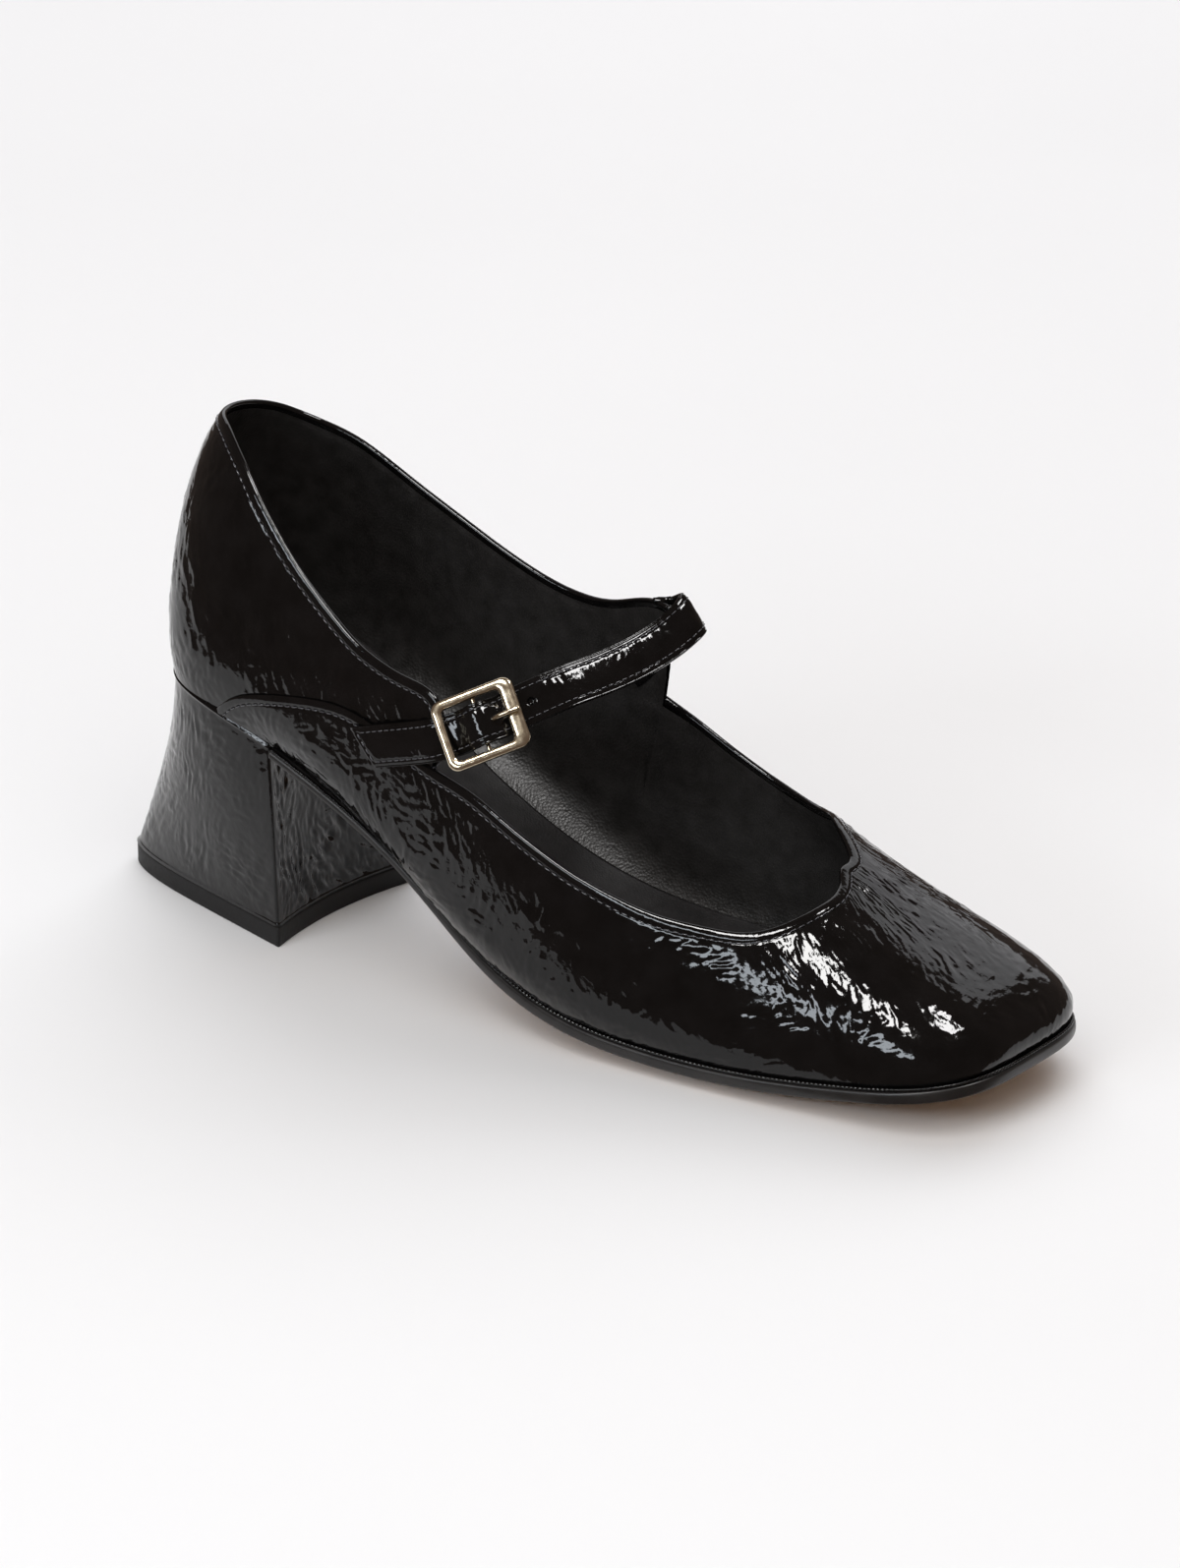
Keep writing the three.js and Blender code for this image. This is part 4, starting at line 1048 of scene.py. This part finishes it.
# Sections of the buckle's rim, from its outer foot over the bevelled face to its inner foot:
# share of the way across the bar, and height as a share of half the thickness.
RIM_SECTION = [
    (0, -0.55), (0, 0.1), (0.03, 0.42), (0.12, 0.72), (0.26, 0.92), (0.42, 1), (0.58, 1),
    (0.74, 0.93), (0.88, 0.74), (0.97, 0.4), (1, 0.05), (1, -0.55), (0.9, -1), (0.1, -1),
]


def buckle_rim():
    """The buckle's rounded frame with its hidden centre bar."""
    end, side = BUCKLE_LENGTH / 2, BUCKLE_WIDTH / 2
    outer = rounded_rectangle(-end, end, side, BUCKLE_CORNER)
    inner = rounded_rectangle(
        -end + BUCKLE_BAR, end - BUCKLE_FRONT_BAR, side - BUCKLE_BAR, BUCKLE_CORNER - BUCKLE_BAR / 2
    )
    rings = []
    for share, height in RIM_SECTION:
        plan = mix(outer, inner, share)
        rings.append(buckle_point(*plan.T, np.full(len(plan), height * BUCKLE_THICK / 2)))
    points = np.array(rings)
    faces = [grid_faces(*points.shape[:2], closed_rows=True, closed_columns=True)]
    body = points.reshape(-1, 3)
    turn = np.arange(ROD_SIDES) * 2 * math.pi / ROD_SIDES
    reach = side - BUCKLE_BAR / 2
    along, lift = CENTRE_BAR_RADIUS * np.cos(turn), CENTRE_BAR_RADIUS * np.sin(turn) - CENTRE_BAR_DROP
    bar = [buckle_point(along, 0 * turn + place, lift) for place in np.linspace(-reach, reach, 9)]
    faces.append(grid_faces(len(bar), ROD_SIDES, closed_columns=True) + len(body))
    points = np.concatenate([body, np.array(bar).reshape(-1, 3)])
    return turn_outwards(add_mesh("buckle_rim", points, faces))


def buckle_tongue():
    """The prong: a slim rod that lies on the front bar, with a rounded point."""
    line = knotted([(x, 0, z) for x, z in PRONG_LINE], np.linspace(0, 1, 60))
    run = running_length(line)
    left = run[-1] - run
    wide = PRONG_RADIUS * np.sqrt(np.clip(1 - (1 - np.minimum(left / PRONG_POINT, 1)) ** 2, 0.0004, 1))
    slope = np.gradient(line, axis=0)
    up = unit(np.stack([-slope[:, 2], 0 * run, slope[:, 0]], -1))
    turn = np.arange(ROD_SIDES) * 2 * math.pi / ROD_SIDES
    across = np.stack([0 * turn, np.cos(turn), 0 * turn], -1) * PRONG_BROAD
    ring = (across[None] + up[:, None] * np.sin(turn)[None, :, None]) * wide[:, None, None]
    return tube("buckle_tongue", buckle_point(*np.moveaxis(line[:, None] + ring, -1, 0)))

# ---------------------------------------------------------------- materials
TONE_LOW, TONE_HIGH = 0.3, 0.7  # most of a noise's values lie between these
TAN_BELOW = -0.86  # faces of the sole that look down more than this show tan leather


def add_node(material, kind, joined, values):
    """A new node with some of its sockets joined to others' outputs and some set."""
    node = material.node_tree.nodes.new("ShaderNode" + kind)
    for socket, value in values.items():
        node.inputs[socket].default_value = value
    for socket, output in joined.items():
        material.node_tree.links.new(output, node.inputs[socket])
    return node


def object_space(material):
    return add_node(material, "TexCoord", {}, {}).outputs["Object"]


def noise_texture(material, scale, detail):
    """Noise over the piece's own coordinates, in features per metre."""
    values = {"Scale": scale, "Detail": detail}
    return add_node(material, "TexNoise", {"Vector": object_space(material)}, values).outputs["Fac"]


def colours(material, value, dark, light):
    """Runs from a dark to a light colour with a noise."""
    ramp = add_node(material, "ValToRGB", {"Fac": value}, {})
    for element, place, colour in zip(ramp.color_ramp.elements, (TONE_LOW, TONE_HIGH), (dark, light)):
        element.position = place
        element.color = (*colour, 1)
    return ramp.outputs["Color"]


def spread(material, value, low, high):
    """Spreads a noise over a range."""
    values = {"From Min": TONE_LOW, "From Max": TONE_HIGH, "To Min": low, "To Max": high}
    return add_node(material, "MapRange", {"Value": value}, values).outputs["Result"]


def bumped(material, value, depth, strength, after=None):
    """A bump, depth in mm, on top of another one if there is one."""
    joined = {"Height": value, **({"Normal": after} if after else {})}
    values = {"Distance": depth * MM, "Strength": strength}
    return add_node(material, "Bump", joined, values).outputs["Normal"]


def to_shader(material, **outputs):
    """Joins outputs to the shader's sockets, such as Base_Color."""
    shader = material.node_tree.nodes["Principled BSDF"]
    for socket, output in outputs.items():
        material.node_tree.links.new(output, shader.inputs[socket.replace("_", " ")])


def toned(name, noise, dark, light, rough, bump=None, plain=None, wear=None):
    """A material whose colour and bump follow one noise, and its roughness that or another."""
    material = bpy.data.materials.new(name)
    material.use_nodes = True
    tone = noise_texture(material, *noise)
    to_shader(material, Base_Color=colours(material, tone, dark, light))
    worn = noise_texture(material, *wear) if wear else tone
    to_shader(material, Roughness=spread(material, worn, *rough))
    if bump:
        to_shader(material, Normal=bumped(material, tone, *bump))
    for socket, value in (plain or {}).items():
        material.node_tree.nodes["Principled BSDF"].inputs[socket].default_value = value
    return material


def patent_leather():
    """Black lacquer over crinkled leather: mirror-like, with a fine orange-peel ripple."""
    plain = {"IOR": 1.5, "Specular IOR Level": 0.36}
    dark, light = (0.002, 0.0018, 0.0018), (0.0045, 0.004, 0.004)
    material = toned("crinkled_patent", (160, 4), dark, light, (0.04, 0.09), None, plain, (90, 3))
    ripple = bumped(material, noise_texture(material, 520, 2), 0.12, 0.5)
    fine = bumped(material, noise_texture(material, 1500, 2), 0.03, 0.4, ripple)
    to_shader(material, Normal=fine)
    return material


def plain_leather(name, dark, light, rough, grain_scale, grain_depth):
    """Leather with a pebbled grain."""
    material = toned(name, (220, 4), dark, light, rough)
    joined = {"Vector": object_space(material)}
    pebbles = add_node(material, "TexVoronoi", joined, {"Scale": grain_scale}).outputs["Distance"]
    to_shader(material, Normal=bumped(material, pebbles, grain_depth, 0.6))
    return material


def sole_leather():
    """Black dyed edge and tan leather underneath, told apart by which way the face looks."""
    dark, light = (0.008, 0.007, 0.007), (0.016, 0.014, 0.013)
    material = toned("sole_leather", (120, 5), dark, light, (0.28, 0.4), (0.1, 0.3))
    tree = material.node_tree
    black = tree.nodes["Principled BSDF"].inputs["Base Color"].links[0].from_socket
    tan = colours(material, noise_texture(material, 120, 5), (0.33, 0.2, 0.11), (0.45, 0.29, 0.17))
    facing = add_node(material, "NewGeometry", {}, {}).outputs["True Normal"]
    up = add_node(material, "SeparateXYZ", {0: facing}, {}).outputs["Z"]
    below = add_node(material, "Math", {0: up}, {1: TAN_BELOW})
    below.operation = "LESS_THAN"
    blend = add_node(material, "Mix", {}, {})
    blend.data_type = "RGBA"
    tree.links.new(below.outputs[0], blend.inputs["Factor"])
    tree.links.new(black, blend.inputs[6])
    tree.links.new(tan, blend.inputs[7])
    to_shader(material, Base_Color=blend.outputs[2])
    return material


# ---------------------------------------------------------------- building it all
patent = patent_leather()
thread = toned("black_thread", (2600, 2), (0.03, 0.03, 0.035), (0.075, 0.075, 0.085), (0.22, 0.36),
               plain={"Specular IOR Level": 0.9})
rubber = toned("lift_rubber", (900, 3), (0.006, 0.006, 0.006), (0.012, 0.011, 0.011), (0.5, 0.62),
               (0.06, 0.5), {"Specular IOR Level": 0.25})
gold = toned("pale_gold", (500, 3), (0.66, 0.56, 0.4), (0.74, 0.65, 0.49), (0.14, 0.24),
             (0.03, 0.3), {"Metallic": 1})
floor_paper = toned("pale_floor", (3, 2), (0.81, 0.815, 0.82), (0.82, 0.825, 0.83), (0.55, 0.65))
lining_leather = plain_leather(
    "lining_leather", (0.012, 0.011, 0.01), (0.022, 0.02, 0.019), (0.37, 0.47), 1500, 0.12
)
sock_leather = plain_leather(
    "sock_leather", (0.009, 0.008, 0.008), (0.016, 0.014, 0.014), (0.33, 0.43), 1900, 0.06
)

quarter_skin, quarter_frames = quarters()
dress(quarter_skin, patent, "patent", "upper")
vamp_skin, vamp_frames = vamp()
dress(vamp_skin, patent, "patent", "upper")
dress(lining(), lining_leather, "lining")
dress(insole(), sock_leather, "lining", "insole")
dress(outsole(), sole_leather(), "sole", "outsole")
dress(rand_bead(), patent, "sole")
dress(heel_block(), patent, "patent", "heel")
dress(top_lift(), rubber, "lift_rubber", "top_lift")
dress(strap_band(), patent, "patent", "strap")
dress(buckle_rim(), gold, "buckle_metal", "buckle_frame")
dress(buckle_tongue(), gold, "buckle_metal", "buckle_prong")
dress(stitch_row("quarter_stitches", *stitched_line(quarter_frames)), thread, "patent")
dress(stitch_row("vamp_stitches", *stitched_line(vamp_frames)), thread, "patent")
for k, (line, normal) in enumerate(strap_stitches()):
    dress(stitch_row(f"strap_stitches_{k}", line, normal, 2.0, 0.3), thread, "patent")


# ---------------------------------------------------------------- studio
NEAR_FLOOR, FAR_FLOOR = 0.6, 3.2  # radii of the floor, metres; only the near part is mirrored
FLOOR_CENTRE = Vector((-0.14, 0.458, 0))  # behind the shoe, seen from the camera
FLOOR_SIDES = 96
SHOE_MIDDLE = Vector((0.105, 0, 0.05))  # the lights face it


def floor_piece(name, inner, outer, material):
    turn = np.arange(FLOOR_SIDES) * 2 * math.pi / FLOOR_SIDES
    circle = np.stack([np.cos(turn), np.sin(turn), 0 * turn], 1) / MM
    points = np.concatenate([circle * inner, circle * outer])
    points += (ORIGIN_X, 0, 0) + np.array(FLOOR_CENTRE) / MM
    faces = [grid_faces(2, FLOOR_SIDES, closed_columns=True, flip=True)]
    if not inner:
        faces = [fan_faces(np.arange(FLOOR_SIDES) + FLOOR_SIDES, 0)]
    piece = add_mesh(name, points, faces)
    piece.data.materials.append(material)
    return piece


floor_piece("near_floor", 0, NEAR_FLOOR, floor_paper)
floor_piece("far_floor", NEAR_FLOOR, FAR_FLOOR, floor_paper).visible_glossy = False


def soft_light(name, azimuth, elevation, distance, width, height, power, colour):
    """A rectangular soft box that faces the shoe; angles in degrees, sizes in metres."""
    a, e = math.radians(azimuth), math.radians(elevation)
    back = Vector((math.cos(a) * math.cos(e), math.sin(a) * math.cos(e), math.sin(e)))
    data = bpy.data.lights.new(name, "AREA")
    data.shape = "RECTANGLE"
    data.size, data.size_y = width, height
    data.energy = power
    data.color = colour
    lamp = bpy.data.objects.new(name, data)
    lamp.location = SHOE_MIDDLE + back * distance
    lamp.rotation_euler = back.to_track_quat("Z", "Y").to_euler()
    bpy.context.scene.collection.objects.link(lamp)
    return lamp


LIGHTS = [  # name, azimuth, elevation, distance, width, height, radiance, colour
    ("front_box", -91, 58, 1.6, 0.42, 0.36, 32, (1, 0.99, 0.98)),
    ("top_box", 30, 68, 1.6, 0.38, 0.34, 30, (1, 0.99, 0.99)),
    ("low_panel", -98, 23, 1.9, 1.1, 0.26, 12, (0.86, 0.93, 1)),
    ("backdrop", 118, 34, 2.5, 2.7, 1.4, 1.2, (0.94, 0.96, 1)),
]
for name, azimuth, elevation, distance, width, height, radiance, colour in LIGHTS:
    power = radiance * width * height * math.pi
    soft_light(name, azimuth, elevation, distance, width, height, power, colour)
for name in ("front_box", "top_box"):
    bpy.data.objects[name].visible_diffuse = False  # they give glints, and no hard shadow
# Two wide lights, which nothing mirrors, make the floor even and its shadows soft.
soft_light("far_light", 124, 52, 2.0, 2.2, 2.2, 26, (0.97, 0.98, 1)).visible_glossy = False
soft_light("near_light", -60, 55, 2.0, 2.2, 2.2, 33, (1, 0.99, 0.98)).visible_glossy = False

world = bpy.data.worlds.new("studio")
bpy.context.scene.world = world
world.use_nodes = True
surrounding = world.node_tree.nodes["Background"]
surrounding.inputs["Color"].default_value = (0.13, 0.1, 0.085, 1)
surrounding.inputs["Strength"].default_value = 1

bpy.context.scene.view_settings.view_transform = "Standard"

LENS, CAMERA_DISTANCE = 159.62, 1.65  # mm, and metres from its target
CAMERA_TARGET = Vector((0.104, 0, 0.052))
CAMERA_BACK = Vector((0.553, -0.748, 0.367)).normalized()
camera_data = bpy.data.cameras.new("camera")
camera_data.lens = LENS
camera = bpy.data.objects.new("camera", camera_data)
camera.location = CAMERA_TARGET + CAMERA_BACK * CAMERA_DISTANCE
camera.rotation_euler = CAMERA_BACK.to_track_quat("Z", "Y").to_euler()
bpy.context.scene.collection.objects.link(camera)
bpy.context.scene.camera = camera
